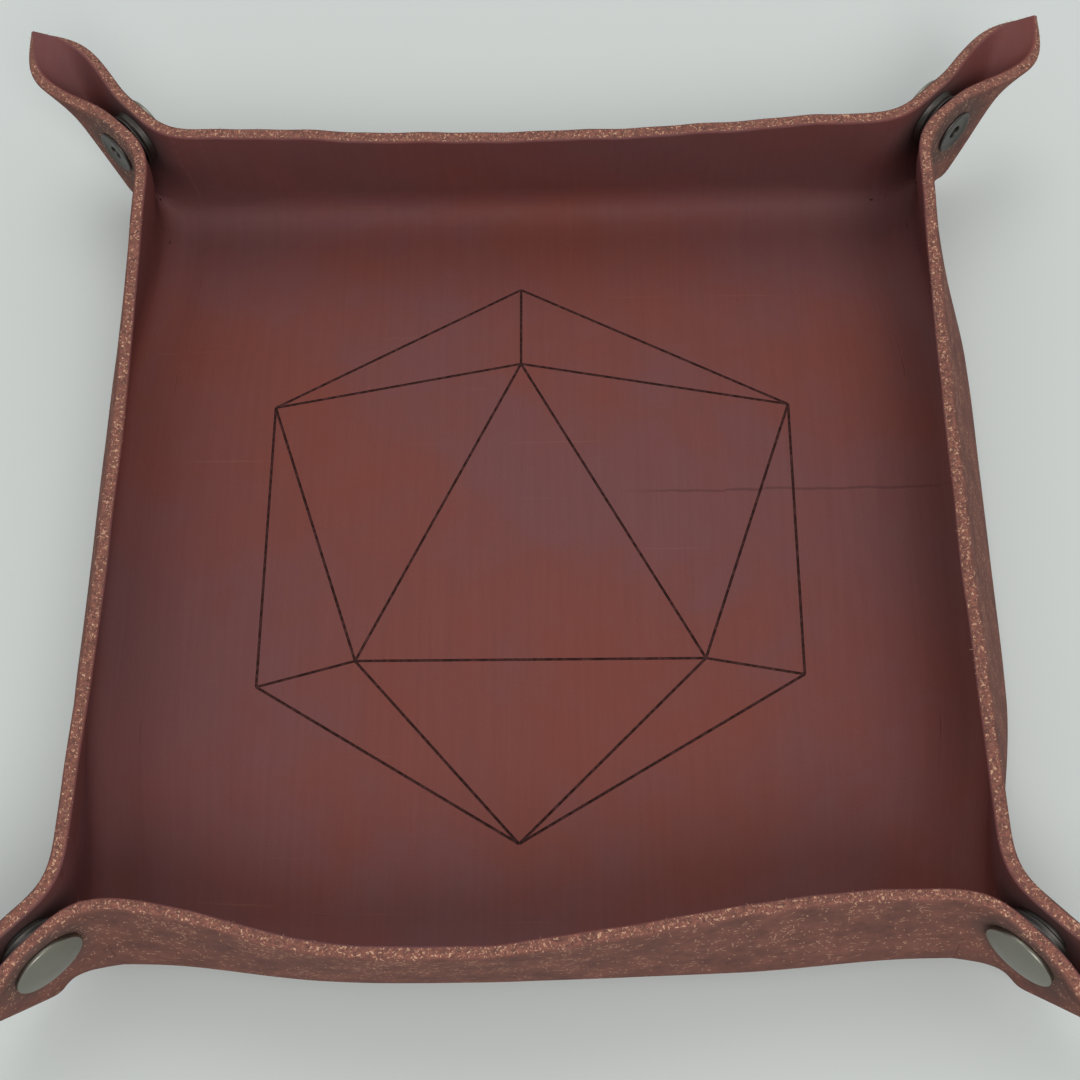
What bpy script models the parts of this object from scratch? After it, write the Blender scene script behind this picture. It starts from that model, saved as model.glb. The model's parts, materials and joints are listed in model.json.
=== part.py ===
# Leather dice tray: one square of thick leather, its corners pinched by four press snaps.
#
# The leather is described on the flat sheet. A place on the sheet has two coordinates, across and
# along, measured from the middle. folded() gives the place in space of the leather's middle layer.
# The floor lies on the table at z = 0, +X is right and +Y is the back.
#
# The sheet is cut along its folds into a floor, four walls and eight ear halves, so that the tray
# can be unsnapped and opened. Each panel keeps a small gap to its neighbours.

from math import cos, pi, radians, sin, sqrt, tan

import bpy
import numpy as np
from mathutils import Matrix, Vector

# Sheet: half the floor between its folds, and the height of the walls past them
FLOOR_HALF = 0.0885
WALL = 0.0355
LEATHER = 0.0026
BEND_REACH = 0.0085

# Lean of the walls from upright, outward positive, at their middle and beside the ears
END_LEAN = -9.0
FRONT_LEAN = 6.5
BACK_LEAN = -13.0
LEFT_LEAN = -10.5
RIGHT_LEAN = -10.0
BOW_FLAT = 0.012
BOW_END = 0.072
BOW_SHIFT = 0.015

# Ears
EAR_SLANT = 17.0
EAR_MOUTH = 0.0113
EAR_STRAIGHT = 0.028
EAR_START_SHARE = 0.38
KEEL_START = 0.001
KEEL_FADE = 0.011
KEEL_WIDTH = 0.008
KEEL_SHARPNESS_SHARE = 0.85

# Snaps
FLAP_GAP = 0.0034
SNAP_BELOW_RIM = 0.0090
SEAT_GAP = 0.0003
CAP_RADIUS = 0.0075
CAP_CROWN = 0.0016
CAP_EDGE = 0.0008
POST_RADIUS = 0.0015
SOCKET_RADIUS = 0.00625
SOCKET_HEIGHT = 0.0020
SOCKET_PLATE = 0.0005
STUD_FLANGE_RADIUS = 0.0050
STUD_FLANGE = 0.0005
STUD_HEAD_RADIUS = 0.0025
STUD_HEAD_RISE = 0.0013
STUD_WALL = 0.0005
STUD_CLEARANCE = 0.0004
EYELET_RADIUS = 0.0048
EYELET_FLANGE = 0.0006
EYELET_BORE_RADIUS = 0.0013
EYELET_WALL = 0.0004
EDGE_ROUND = 0.00025
PRESS_MARGIN = 0.0010
PRESS_FADE = 0.0065

# Gaps between the panels of leather
FOLD_GAP = 0.0009
EAR_FOLD_GAP = 0.0011
CORNER_GAP_LOW = 0.0030
CORNER_GAP_HIGH = 0.0018

# Mesh density
SAMPLES = 16
TURN_STEPS = 24
RUN_CELLS = 20
LEVELS = 10
EAR_CELLS = 12

SNAP_HEIGHT = WALL - SNAP_BELOW_RIM
FLAP_OFFSET = (FLAP_GAP + LEATHER) / 2
PRESS_RADIUS = CAP_RADIUS + PRESS_MARGIN
HOLE_RADIUS = max(POST_RADIUS, EYELET_BORE_RADIUS + EYELET_WALL) + SEAT_GAP
SLANT = tan(radians(EAR_SLANT))

CORNERS = {
    "front_left": (-1, -1),
    "front_right": (1, -1),
    "back_left": (-1, 1),
    "back_right": (1, 1),
}
WALLS = {
    "front": (0, -1),
    "back": (0, 1),
    "left": (-1, 0),
    "right": (1, 0),
}


# Folded leather

def ease(x):
    """Smooth step from 0 to 1."""
    x = np.clip(x, 0, 1)
    return x * x * (3 - 2 * x)


def lean(middle, place, shift=0.0):
    """Lean of a wall in radians: its middle value, easing to the shared value at both ends."""
    centred = place - shift * (1 - np.abs(place) / FLOOR_HALF)
    share = ease((np.abs(centred) - BOW_FLAT) / (BOW_END - BOW_FLAT))
    return np.radians(middle + (END_LEAN - middle) * share)


def pinched(p, q):
    """Ear: distances outward along the corner's diagonal, up, and sideways from it.

    p and q are the sheet distances past the two folds of the floor. A section across the diagonal
    is a U, tight at the snap and wider toward the tip.
    """
    across = np.abs(q - p) / sqrt(2)
    along = (p + q) / sqrt(2)
    open_share = ease((along - EAR_STRAIGHT) / (WALL * sqrt(2) - EAR_STRAIGHT))
    radius = FLAP_OFFSET + (EAR_MOUTH - FLAP_OFFSET) * open_share
    turn = np.minimum(across / radius, pi / 2)
    sideways = radius * np.sin(turn)
    away = radius * (1 - np.cos(turn)) + np.maximum(across - radius * pi / 2, 0)
    outward = (along - away) / sqrt(2)
    upward = (along + away) / sqrt(2)
    return outward, upward, np.where(p > q, sideways, -sideways)


def creased(across, along):
    """The sheet folded with sharp creases."""
    side_x = np.where(across < 0, -1.0, 1.0)
    side_y = np.where(along < 0, -1.0, 1.0)
    a = np.abs(across)
    b = np.abs(along)
    p = a - FLOOR_HALF
    q = b - FLOOR_HALF
    x = a.copy()
    y = b.copy()
    z = np.zeros_like(a)
    tilt_y = np.where(along < 0, lean(FRONT_LEAN, across, -BOW_SHIFT), lean(BACK_LEAN, across))
    tilt_x = np.where(across < 0, lean(LEFT_LEAN, along), lean(RIGHT_LEAN, along))
    wall_y = (q > 0) & (p <= 0)
    wall_x = (p > 0) & (q <= 0)
    y = np.where(wall_y, FLOOR_HALF + q * np.sin(tilt_y), y)
    x = np.where(wall_x, FLOOR_HALF + p * np.sin(tilt_x), x)
    z = np.where(wall_y, q * np.cos(tilt_y), z)
    z = np.where(wall_x, p * np.cos(tilt_x), z)
    ear = (p > 0) & (q > 0)
    outward, upward, sideways = pinched(np.maximum(p, 0), np.maximum(q, 0))
    x = np.where(ear, FLOOR_HALF + (outward + sideways) / sqrt(2), x)
    y = np.where(ear, FLOOR_HALF + (outward - sideways) / sqrt(2), y)
    z = np.where(ear, upward, z)
    return np.stack([side_x * x, side_y * y, z], -1)


def folded(across, along):
    """Middle layer of the folded leather: soft creases, pressed flat at each snap."""
    side_x = np.where(across < 0, -1.0, 1.0)
    side_y = np.where(along < 0, -1.0, 1.0)
    p = np.abs(across) - FLOOR_HALF
    q = np.abs(along) - FLOOR_HALF
    low = np.minimum(p, q)
    high = np.maximum(p, q)
    keel = ease((low + high - KEEL_START) / KEEL_FADE) * (1 - ease((high - low - KEEL_WIDTH) / KEEL_FADE))
    reach = BEND_REACH * (1 - KEEL_SHARPNESS_SHARE * keel)
    offsets = np.linspace(-1, 1, SAMPLES)
    weights = np.ones(SAMPLES)
    weights[0] = weights[-1] = 0.5
    weights /= weights.sum()
    soft = 0
    for dx, weight_x in zip(offsets, weights):
        for dy, weight_y in zip(offsets, weights):
            soft = soft + weight_x * weight_y * creased(across + dx * reach, along + dy * reach)
    press = 1 - ease((np.hypot(low, high - SNAP_HEIGHT) - PRESS_RADIUS) / PRESS_FADE)
    sideways = np.where(p > q, FLAP_OFFSET, -FLAP_OFFSET)
    flat_x = side_x * (FLOOR_HALF + (low + sideways) / sqrt(2))
    flat_y = side_y * (FLOOR_HALF + (low - sideways) / sqrt(2))
    flat = np.stack([flat_x, flat_y, high], -1)
    press = press[..., None]
    place = soft * (1 - press) + flat * press
    place[..., 2] += LEATHER / 2
    return place


# Panels of leather, each a grid over its own piece of the sheet

def level(t):
    """Sheet distance above a fold of the floor: lines lie closer near the fold."""
    return WALL * t ** 1.5


def wall_place(name, s, t):
    """Sheet place on a wall: s from -1 to 1 along it, t from 0 at the fold to 1 at the rim."""
    q = np.maximum(level(t), FOLD_GAP / 2)
    half = FLOOR_HALF - q * SLANT - EAR_FOLD_GAP / 2
    side_x, side_y = WALLS[name]
    run = np.sin(s * pi / 2) * half
    out = FLOOR_HALF + q
    if side_y:
        return run, side_y * out
    return side_x * out, run


def ear_place(wall, corner, s, t):
    """Sheet place on an ear half: s from 0 at the wall to 1 at the diagonal, t upward."""
    q = level(EAR_START_SHARE + (1 - EAR_START_SHARE) * t)
    inner = -q * SLANT + EAR_FOLD_GAP / 2
    corner_gap = CORNER_GAP_LOW + (CORNER_GAP_HIGH - CORNER_GAP_LOW) * q / WALL
    outer = q - corner_gap / sqrt(2)
    crowded = (1 - np.cos(s * pi)) / 2
    run = FLOOR_HALF + inner + (outer - inner) * crowded
    out = FLOOR_HALF + q
    side_x, side_y = CORNERS[corner]
    if WALLS[wall][1]:
        return side_x * run, side_y * out
    return side_x * out, side_y * run


def floor_place(s, t):
    """Sheet place on the floor: s and t from -1 to 1, lines matching those of the walls."""
    half = FLOOR_HALF - FOLD_GAP / 2
    return np.sin(s * pi / 2) * half, np.sin(t * pi / 2) * half


def place_in_collection(obj, collection):
    for old in obj.users_collection:
        old.objects.unlink(obj)
    collection.objects.link(obj)


def panel(name, cells, place, material, collection):
    """A grid laid on the folded sheet and thickened to the leather."""
    bpy.ops.mesh.primitive_grid_add(x_subdivisions=cells[0], y_subdivisions=cells[1], size=1)
    obj = bpy.context.object
    obj.name = name
    place_in_collection(obj, collection)
    mesh = obj.data
    unit = np.empty(len(mesh.vertices) * 3)
    mesh.vertices.foreach_get("co", unit)
    unit = unit.reshape(-1, 3) + 0.5
    across, along = place(unit[:, 0], unit[:, 1])
    mesh.vertices.foreach_set("co", folded(across, along).ravel())
    if mirrored(across, along, unit):
        mesh.flip_normals()
    mesh.update()
    mesh.shade_smooth()
    mesh.materials.append(material)
    thick = obj.modifiers.new("Leather", 'SOLIDIFY')
    thick.thickness = LEATHER
    thick.offset = 0
    thick.use_even_offset = True
    return obj


def mirrored(across, along, unit):
    """True where the grid lies face down on the sheet."""
    corner = np.argmin(unit[:, 0] + unit[:, 1])
    end_x = np.argmax(unit[:, 0] - unit[:, 1])
    end_y = np.argmax(unit[:, 1] - unit[:, 0])
    first = (across[end_x] - across[corner], along[end_x] - along[corner])
    second = (across[end_y] - across[corner], along[end_y] - along[corner])
    return first[0] * second[1] - first[1] * second[0] < 0


# Joint axes

def grain_point(across, along):
    """Place on the inner face of the leather."""
    step = LEATHER / 10
    across = np.array([across, across + step, across])
    along = np.array([along, along, along + step])
    middle, ahead, beside = [Vector(point) for point in folded(across, along)]
    normal = (ahead - middle).cross(beside - middle).normalized()
    return middle + normal * LEATHER / 2


def flesh_point(across, along):
    """Place on the outer face of the leather."""
    middle = Vector(folded(np.array([across]), np.array([along]))[0])
    return middle * 2 - grain_point(across, along)


def wall_axis(wall):
    """Point and direction of a wall's fold, on the outer face. A positive turn opens the wall."""
    side_x, side_y = WALLS[wall]
    fold = flesh_point(BOW_END, FLOOR_HALF)
    return Vector((side_x * fold.y, side_y * fold.y, fold.z)), Vector((-side_y, side_x, 0))


def ear_axis(wall, corner):
    """Point and direction of an ear half's fold, on the inner face. A positive turn unfolds it."""
    side_x, side_y = CORNERS[corner]
    ends = []
    for q in (level(EAR_START_SHARE), WALL):
        end = grain_point(FLOOR_HALF - q * SLANT, FLOOR_HALF + q)
        if WALLS[wall][1]:
            ends.append(Vector((side_x * end.x, side_y * end.y, end.z)))
        else:
            ends.append(Vector((side_x * end.y, side_y * end.x, end.z)))
    upward = (ends[1] - ends[0]).normalized()
    unfolds_upward = side_x * side_y * (-1 if WALLS[wall][1] else 1) > 0
    return ends[0], upward if unfolds_upward else -upward


def hinge_empty(name, axis, collection, parent=None):
    """An empty on a joint's axis, its local Z along it."""
    point, direction = axis
    empty = bpy.data.objects.new(name, None)
    empty.empty_display_size = WALL / 4
    collection.objects.link(empty)
    turn = direction.to_track_quat('Z', 'Y').to_matrix().to_4x4()
    world = Matrix.Translation(point) @ turn
    if parent:
        empty.parent = parent
        empty.matrix_parent_inverse = parent.matrix_world.inverted()
    empty.matrix_world = world
    bpy.context.view_layer.update()
    return empty


def carry(obj, empty):
    """Parents an object to an empty without moving it."""
    obj.parent = empty
    obj.matrix_parent_inverse = empty.matrix_world.inverted()


# Turned metal pieces; local Z points to the outer face of the flap, 0 halfway between the flaps

LEATHER_IN = FLAP_GAP / 2
LEATHER_OUT = LEATHER_IN + LEATHER
SOCKET_TOP = LEATHER_IN - SEAT_GAP
SOCKET_FOOT = SOCKET_TOP - SOCKET_HEIGHT
STUD_BACK = LEATHER_IN - SEAT_GAP
STUD_FACE = STUD_BACK - STUD_FLANGE
STUD_TOP = STUD_FACE - STUD_HEAD_RISE
HEAD_SEAT = LEATHER_OUT + SEAT_GAP


def cap_profile():
    """Domed disc with its post, from the crown down."""
    points = [(0, HEAD_SEAT + CAP_CROWN)]
    for share in (0.4, 0.7, 0.9):
        points.append((CAP_RADIUS * share, HEAD_SEAT + CAP_CROWN - (CAP_CROWN - CAP_EDGE) * share ** 2))
    points.append((CAP_RADIUS - EDGE_ROUND, HEAD_SEAT + CAP_EDGE))
    points.append((CAP_RADIUS, HEAD_SEAT + CAP_EDGE - EDGE_ROUND))
    points.append((CAP_RADIUS, HEAD_SEAT + EDGE_ROUND))
    points.append((CAP_RADIUS - EDGE_ROUND, HEAD_SEAT))
    points.append((POST_RADIUS, HEAD_SEAT))
    post_end = SOCKET_TOP - SOCKET_PLATE
    points.append((POST_RADIUS, post_end))
    points.append((0, post_end))
    return points, False


def socket_profile():
    """Round box open toward the stud, with a hole for the post in its plate."""
    plate = SOCKET_TOP - SOCKET_PLATE
    mouth = STUD_HEAD_RADIUS + STUD_CLEARANCE
    hole = POST_RADIUS + SEAT_GAP
    return [
        (hole, SOCKET_TOP),
        (SOCKET_RADIUS - EDGE_ROUND, SOCKET_TOP),
        (SOCKET_RADIUS, SOCKET_TOP - EDGE_ROUND),
        (SOCKET_RADIUS, SOCKET_FOOT + EDGE_ROUND),
        (SOCKET_RADIUS - EDGE_ROUND, SOCKET_FOOT),
        (mouth + EDGE_ROUND, SOCKET_FOOT),
        (mouth, SOCKET_FOOT + EDGE_ROUND),
        (mouth, plate),
        (hole, plate),
    ], True


def stud_profile():
    """Hollow button on a thin flange, its head toward the socket."""
    hollow = STUD_HEAD_RADIUS - STUD_WALL
    return [
        (0, STUD_TOP + STUD_WALL),
        (hollow, STUD_TOP + STUD_WALL),
        (hollow, STUD_BACK),
        (STUD_FLANGE_RADIUS, STUD_BACK),
        (STUD_FLANGE_RADIUS, STUD_FACE),
        (STUD_HEAD_RADIUS, STUD_FACE),
        (STUD_HEAD_RADIUS, STUD_TOP + EDGE_ROUND),
        (STUD_HEAD_RADIUS - EDGE_ROUND, STUD_TOP),
        (0, STUD_TOP),
    ], False


def eyelet_profile():
    """Flange on the outer face, barrel through the leather into the stud."""
    barrel = EYELET_BORE_RADIUS + EYELET_WALL
    top = HEAD_SEAT + EYELET_FLANGE
    barrel_end = STUD_TOP + STUD_WALL + SEAT_GAP
    return [
        (EYELET_BORE_RADIUS + EDGE_ROUND, top),
        (EYELET_RADIUS - EDGE_ROUND, top),
        (EYELET_RADIUS, top - EDGE_ROUND),
        (EYELET_RADIUS, HEAD_SEAT),
        (barrel, HEAD_SEAT),
        (barrel, barrel_end),
        (EYELET_BORE_RADIUS, barrel_end),
        (EYELET_BORE_RADIUS, top - EDGE_ROUND),
    ], True


def turned(name, profile, material, collection):
    """A piece turned about local Z from a profile drawn at +X."""
    points, is_ring = profile
    edges = [(i, i + 1) for i in range(len(points) - 1)]
    if is_ring:
        edges.append((len(points) - 1, 0))
    mesh = bpy.data.meshes.new(name)
    mesh.from_pydata([(x, 0, z) for x, z in points], edges, [])
    mesh.materials.append(material)
    obj = bpy.data.objects.new(name, mesh)
    collection.objects.link(obj)
    turn = obj.modifiers.new("Turn", 'SCREW')
    turn.axis = 'Z'
    turn.steps = TURN_STEPS
    turn.render_steps = TURN_STEPS
    turn.use_merge_vertices = True
    turn.merge_threshold = EDGE_ROUND / 10
    turn.use_smooth_shade = True
    return obj


def snap_frame(corner, is_side):
    """Frame on a snap's axis, +Z toward the outer face of the side flap or of the other flap."""
    side_x, side_y = CORNERS[corner]
    centre = Vector((side_x * FLOOR_HALF, side_y * FLOOR_HALF, SNAP_HEIGHT + LEATHER / 2))
    outer = Vector((side_x, -side_y, 0)) if is_side else Vector((-side_x, side_y, 0))
    turn = outer.to_track_quat('Z', 'Y').to_matrix().to_4x4()
    return Matrix.Translation(centre) @ turn


def cut_hole(ear, frame, cutters):
    """Hole through an ear half for a post or a barrel."""
    bpy.ops.mesh.primitive_cylinder_add(vertices=TURN_STEPS, radius=HOLE_RADIUS, depth=LEATHER * 3)
    cutter = bpy.context.object
    cutter.name = ear.name + "_hole"
    place_in_collection(cutter, cutters)
    cutter.matrix_world = frame @ Matrix.Translation((0, 0, FLAP_OFFSET))
    cutter.hide_render = True
    cutter.display_type = 'WIRE'
    cut = ear.modifiers.new("Hole", 'BOOLEAN')
    cut.operation = 'DIFFERENCE'
    cut.solver = 'EXACT'
    cut.object = cutter


# Materials

def make_material(name, colour, roughness, metallic=0.0):
    material = bpy.data.materials.new(name)
    material.use_nodes = True
    shader = material.node_tree.nodes["Principled BSDF"]
    shader.inputs["Base Color"].default_value = (*colour, 1)
    shader.inputs["Roughness"].default_value = roughness
    shader.inputs["Metallic"].default_value = metallic
    material.diffuse_color = (*colour, 1)
    return material


def build():
    for obj in list(bpy.data.objects):
        bpy.data.objects.remove(obj, do_unlink=True)
    tray = bpy.data.collections.new("dice_tray")
    cutters = bpy.data.collections.new("cutters")
    for collection in (tray, cutters):
        bpy.context.scene.collection.children.link(collection)

    grain = make_material("grain_leather", (0.13, 0.045, 0.040), 0.55)
    ear_leather = make_material("ear_leather", (0.15, 0.055, 0.045), 0.65)
    cap_metal = make_material("cap_metal", (0.19, 0.18, 0.16), 0.35, 1.0)
    fitting_metal = make_material("fitting_metal", (0.22, 0.21, 0.19), 0.40, 1.0)

    panel("floor", (RUN_CELLS, RUN_CELLS), lambda s, t: floor_place(2 * s - 1, 2 * t - 1), grain, tray)
    walls = {}
    for wall in WALLS:
        empty = hinge_empty(wall + "_fold", wall_axis(wall), tray)
        walls[wall] = empty
        obj = panel(wall + "_wall", (RUN_CELLS, LEVELS), lambda s, t: wall_place(wall, 2 * s - 1, t), grain, tray)
        carry(obj, empty)

    ear_levels = round(LEVELS * (1 - EAR_START_SHARE))
    for corner in CORNERS:
        front_or_back, left_or_right = corner.split("_")
        for wall in (front_or_back, left_or_right):
            is_side = wall == left_or_right
            name = corner + ("_side_ear" if is_side else "_end_ear")
            empty = hinge_empty(name + "_fold", ear_axis(wall, corner), tray, walls[wall])
            ear = panel(name, (EAR_CELLS, ear_levels), lambda s, t: ear_place(wall, corner, s, t), ear_leather, tray)
            frame = snap_frame(corner, is_side)
            cut_hole(ear, frame, cutters)
            carry(ear, empty)
            if is_side:
                pieces = {"stud": stud_profile(), "eyelet": eyelet_profile()}
            else:
                pieces = {"cap": cap_profile(), "socket": socket_profile()}
            for kind, profile in pieces.items():
                metal = cap_metal if kind == "cap" else fitting_metal
                piece = turned(corner + "_" + kind, profile, metal, tray)
                piece.matrix_world = frame
                bpy.context.view_layer.update()
                carry(piece, empty)


build()
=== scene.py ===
"""Leather dice tray: one thick sheet, folded up and pinched at its corners by four press snaps."""

import json
from math import cos, pi, radians, sin, sqrt, tan

import bpy
import numpy as np
from bpy.props import FloatProperty, FloatVectorProperty, PointerProperty
from mathutils import Matrix, Vector

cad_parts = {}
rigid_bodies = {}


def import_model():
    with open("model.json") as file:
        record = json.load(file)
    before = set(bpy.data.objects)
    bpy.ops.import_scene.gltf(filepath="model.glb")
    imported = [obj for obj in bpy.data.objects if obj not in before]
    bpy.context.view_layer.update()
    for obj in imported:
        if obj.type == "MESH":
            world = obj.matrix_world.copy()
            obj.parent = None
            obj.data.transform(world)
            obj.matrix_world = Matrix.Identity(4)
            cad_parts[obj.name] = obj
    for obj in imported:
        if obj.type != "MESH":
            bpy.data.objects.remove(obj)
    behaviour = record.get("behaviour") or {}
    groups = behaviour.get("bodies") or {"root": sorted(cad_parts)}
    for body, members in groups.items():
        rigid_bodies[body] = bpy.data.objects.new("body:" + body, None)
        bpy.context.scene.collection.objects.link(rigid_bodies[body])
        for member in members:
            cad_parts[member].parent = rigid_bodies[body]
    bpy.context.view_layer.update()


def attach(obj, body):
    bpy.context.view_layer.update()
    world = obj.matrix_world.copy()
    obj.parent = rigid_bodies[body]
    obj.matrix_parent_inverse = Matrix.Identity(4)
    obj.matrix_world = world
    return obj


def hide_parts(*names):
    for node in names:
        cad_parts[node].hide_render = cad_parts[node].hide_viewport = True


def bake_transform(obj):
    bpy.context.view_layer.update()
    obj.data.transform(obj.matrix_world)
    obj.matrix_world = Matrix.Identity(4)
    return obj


bl_info = {
    "name": "Leather dice tray",
    "version": (1, 0, 0),
    "blender": (4, 5, 0),
    "location": "View3D > Sidebar > Dice tray",
    "description": "A folded leather tray with pinched corners and press snaps",
    "category": "Add Mesh",
}

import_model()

MM = 0.001
CORNERS = {
    "front_left": (-1, -1),
    "front_right": (1, -1),
    "back_left": (-1, 1),
    "back_right": (1, 1),
}
WALLS = {"front": (0, -1), "back": (0, 1), "left": (-1, 0), "right": (1, 0)}

# Folds
BEND_REACH = 11 * MM
BEND_SAMPLES = 28
BOW_FLAT = 12 * MM
BOW_END = 72 * MM
BOW_SHIFT = 24 * MM

# The foot of a wall swells outward at its middle: how far, and the length of floor that gives way to it
FOOT_SWELL = {"front": 2.5 * MM, "back": 0, "left": 5.5 * MM, "right": 6.3 * MM}
FOOT_FLOOR = 40 * MM
FOOT_FLAT = 38 * MM
KEEL_START = 1 * MM
KEEL_FADE = 11 * MM
KEEL_WIDTH = 8 * MM
KEEL_SHARPNESS_SHARE = 0.85
PRESS_MARGIN = 0.1 * MM
PRESS_FADE = 9 * MM
SLOPE_STEP = 0.05 * MM

# An ear's keel pulled in under its snap: how far, in two steps with their start and length along the keel
KEEL_LIFTS = ((1.1 * MM, 0, 5 * MM), (1.3 * MM, 8 * MM, 20 * MM))
LIFT_WIDTH = 16 * MM

# Each half of an ear goes on past the keel inside the other half, over most of the slit that opens when they part
LAP_COLUMNS = 6
LAP_LEAST = 0.9 * MM

# It is wider by an amount at its root, and by a share of the keel's lift and sag toward the tip
LAP_ROOT = 2.9 * MM
LAP_ROOT_FADE = 4.5 * MM
LAP_SHARE = 0.95
LAP_START = 6 * MM
LAP_FADE = 22 * MM

# It ends short of the rim, and is thinner than the leather by a share that grows over its first stretch
LAP_SHORT_OF_RIM = 0.95
LAP_SUNK = 0.24
LAP_SINKS_OVER = 0.4 * MM

# Stiff leather settles into smooth curves: square grid of sheet places in a corner, and rounds of settling
PATCH_STEP = 0.5 * MM
PATCH_INNER = 34 * MM
PATCH_OUTER = 6 * MM
PATCH_MARGIN = PATCH_STEP * 3
PATCH_SAMPLES = 16
SETTLE_ROUNDS = 150
SETTLE_RATE = 0.2

# Where it is held while it settles, and the length over which it comes free
HELD_AT_SNAP = (6.5 * MM, 6 * MM)
HELD_AT_FLOOR = (4 * MM, 8 * MM)
HELD_AT_KEEL = (1 * MM, 8 * MM)
HELD_IN_WALL = (-30 * MM, 8 * MM)

# Each ear has sagged its own way: how far its tip lies inward and up, and where along the keel that starts
TIP_SHIFTS = {
    (-1, -1): (1.6 * MM, -0.4 * MM),
    (1, -1): (1.6 * MM, -0.4 * MM),
    (-1, 1): (2.8 * MM, 0),
    (1, 1): (2.2 * MM, -3.8 * MM),
}
TIP_START = 20 * MM
TIP_FADE = 30 * MM

# Where the pieces of leather meet: inside the floor's bend, and short of the slanted fold of an ear
FLOOR_SEAM = 12 * MM
EAR_SEAM = 4 * MM
EAR_SEAM_GROWTH = 6 * MM

# Rows of the sheet's cut edge: distance from it, and the share of the thickness left there
EDGE_ROWS = ((0.45 * MM, 0.995), (0.28 * MM, 0.95), (0.12 * MM, 0.86), (0, 0.70))

# Under the first share a face is shaded as rounded. Under the second a face across the leather is cut edge, and
# over it a seam where two pieces of leather meet
ROUNDED_BELOW = 0.99
RIM_BELOW = 0.73

# Grids: cells of each panel, and how much of an ear's spacing is even and how much crowds toward its keel
WALL_COLUMNS = 200
EAR_COLUMNS = 64
EAR_SPACING = (0.45, 0.55)
BEND_ROWS = 12
RISE_ROWS = 46
FLOOR_CELLS = 24

# Uneven leather: swell of the walls, away from folds and snaps, and wander of the cut edge between the ears
SWELL = 0.12 * MM
SWELL_OFF_FOLD = (4 * MM, 14 * MM)
SWELL_OFF_SNAP = (9 * MM, 8 * MM)
EDGE_WANDER = 0.22 * MM
EDGE_WANDER_REACH = 9 * MM
EDGE_WANDER_OFF_EARS = (60 * MM, 12 * MM)

# Line figure on the floor: a twenty-sided die, in shares of its radius
FIGURE_RADIUS = 65.1 * MM
FIGURE_PLACE = (-1.8 * MM, 0.6 * MM)
FIGURE_LINE = 0.30 * MM
FIGURE_LINE_SIDES = 10
FIGURE_POINTS = {
    "top": (-0.025, 0.966),
    "upper_left": (-0.856, 0.514),
    "upper_right": (0.873, 0.492),
    "lower_left": (-0.853, -0.490),
    "lower_right": (0.867, -0.471),
    "bottom": (-0.022, -1.001),
    "face_top": (-0.024, 0.668),
    "face_left": (-0.544, -0.407),
    "face_right": (0.562, -0.413),
}
FIGURE_LINES = (
    "top upper_left",
    "top upper_right",
    "upper_left lower_left",
    "upper_right lower_right",
    "lower_left bottom",
    "lower_right bottom",
    "top face_top",
    "face_top upper_left",
    "face_top upper_right",
    "face_top face_left",
    "face_top face_right",
    "face_left face_right",
    "face_left upper_left",
    "face_right upper_right",
    "face_left lower_left",
    "face_right lower_right",
    "face_left bottom",
    "face_right bottom",
)

# Patches of the grain: x, y and radius in mm, and strength. The warm ones are where the dye took lighter; the dark
# ones are partly darker dye and partly painted shade along the walls and in the corners of the floor
WARM_POOLS = ((-26, -14, 38, 0.7), (-18, -46, 32, 1.0), (34, -46, 34, 1.0), (10, 72, 46, 0.7), (60, 40, 30, 0.4))
DARK_DYE_AND_SHADE_POOLS = (
    (-80, 84, 34, 0.5),
    (84, 84, 30, 0.4),
    (80, -6, 34, 0.9),
    (-84, -84, 34, 0.6),
    (-70, -10, 40, 0.5),
    (2, 12, 30, 0.3),
)

# Painted shade of a crease in the floor, a dark line with no relief: its height, wave, start and end on the sheet, and
# how it dies out, in mm
CREASE_HEIGHT = 12
CREASE_WAVE = 3.0
CREASE_ENDS = (18, 86)
CREASE_FADE = 12

# Pale strokes on the raw side: their spacing, length and width, in mm
FLECK_SIZES = ((1.5, 1.3, 0.16), (1.1, 0.8, 0.2), (0.8, 0.45, 0.24))

# Turned metal
TURN_SEGMENTS = 72
SHARP_ANGLE = 38
ROLL = 0.35 * MM
PRESSED_IN = 0.08 * MM

# Cap: its dome, and the end of its post, flared like a rivet and dimpled
DOME_POINTS = 14
DOME_POWER = 2.4
RIVET_NECK = 0.5 * MM
RIVET_EDGE = 0.15 * MM
RIVET_DIMPLE = 0.4 * MM
RIVET_FLARE = 1.35
RIVET_FACE = 0.6

# Socket: its edges, the waist of its wall, and the lip round its mouth
SOCKET_ROLL = 0.30 * MM
SOCKET_WAIST = ((0.35 * MM, 0.8 * MM), 0.45 * MM)
LIP_OUT = (1.4 * MM, 1.1 * MM)
LIP_STEP = 0.2 * MM
LIP_ROLL = 0.35 * MM

# Stud: its play under the other flap, its flange, and its waisted head
STUD_PLAY = 0.3 * MM
STUD_SHELL = 0.5 * MM
FLANGE_ROLL = 0.2 * MM
HEAD_FOOT = 0.3 * MM
HEAD_WAIST = (0.15 * MM, 0.35 * MM)
HEAD_ROLL = 0.4 * MM

# Eyelet: its barrel, the turn into the bore, and the rounded rim of its flange
BARREL_WALL = 0.4 * MM
BARREL_END = 1.3 * MM
BORE_ROLL = 0.3 * MM
EYELET_FLAT = (1.0 * MM, 0.52 * MM)
EYELET_RIM = (0.4 * MM, 0.38 * MM)
EYELET_FOOT = 0.1 * MM

# Loose fibres of the cut edges
STRAND_SIDES = 3
STRANDS_ON_WALL = 420
STRANDS_ON_EAR = 110
STRANDS_SHORT_OF_TIP = 1 * MM
STRAND_RADIUS = 0.05 * MM
STRAND_LENGTH = (0.25 * MM, 0.95 * MM)
STRAND_ROOT = 0.15 * MM
STRAND_TILT = 0.55
STRAND_BEND = 0.5

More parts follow.
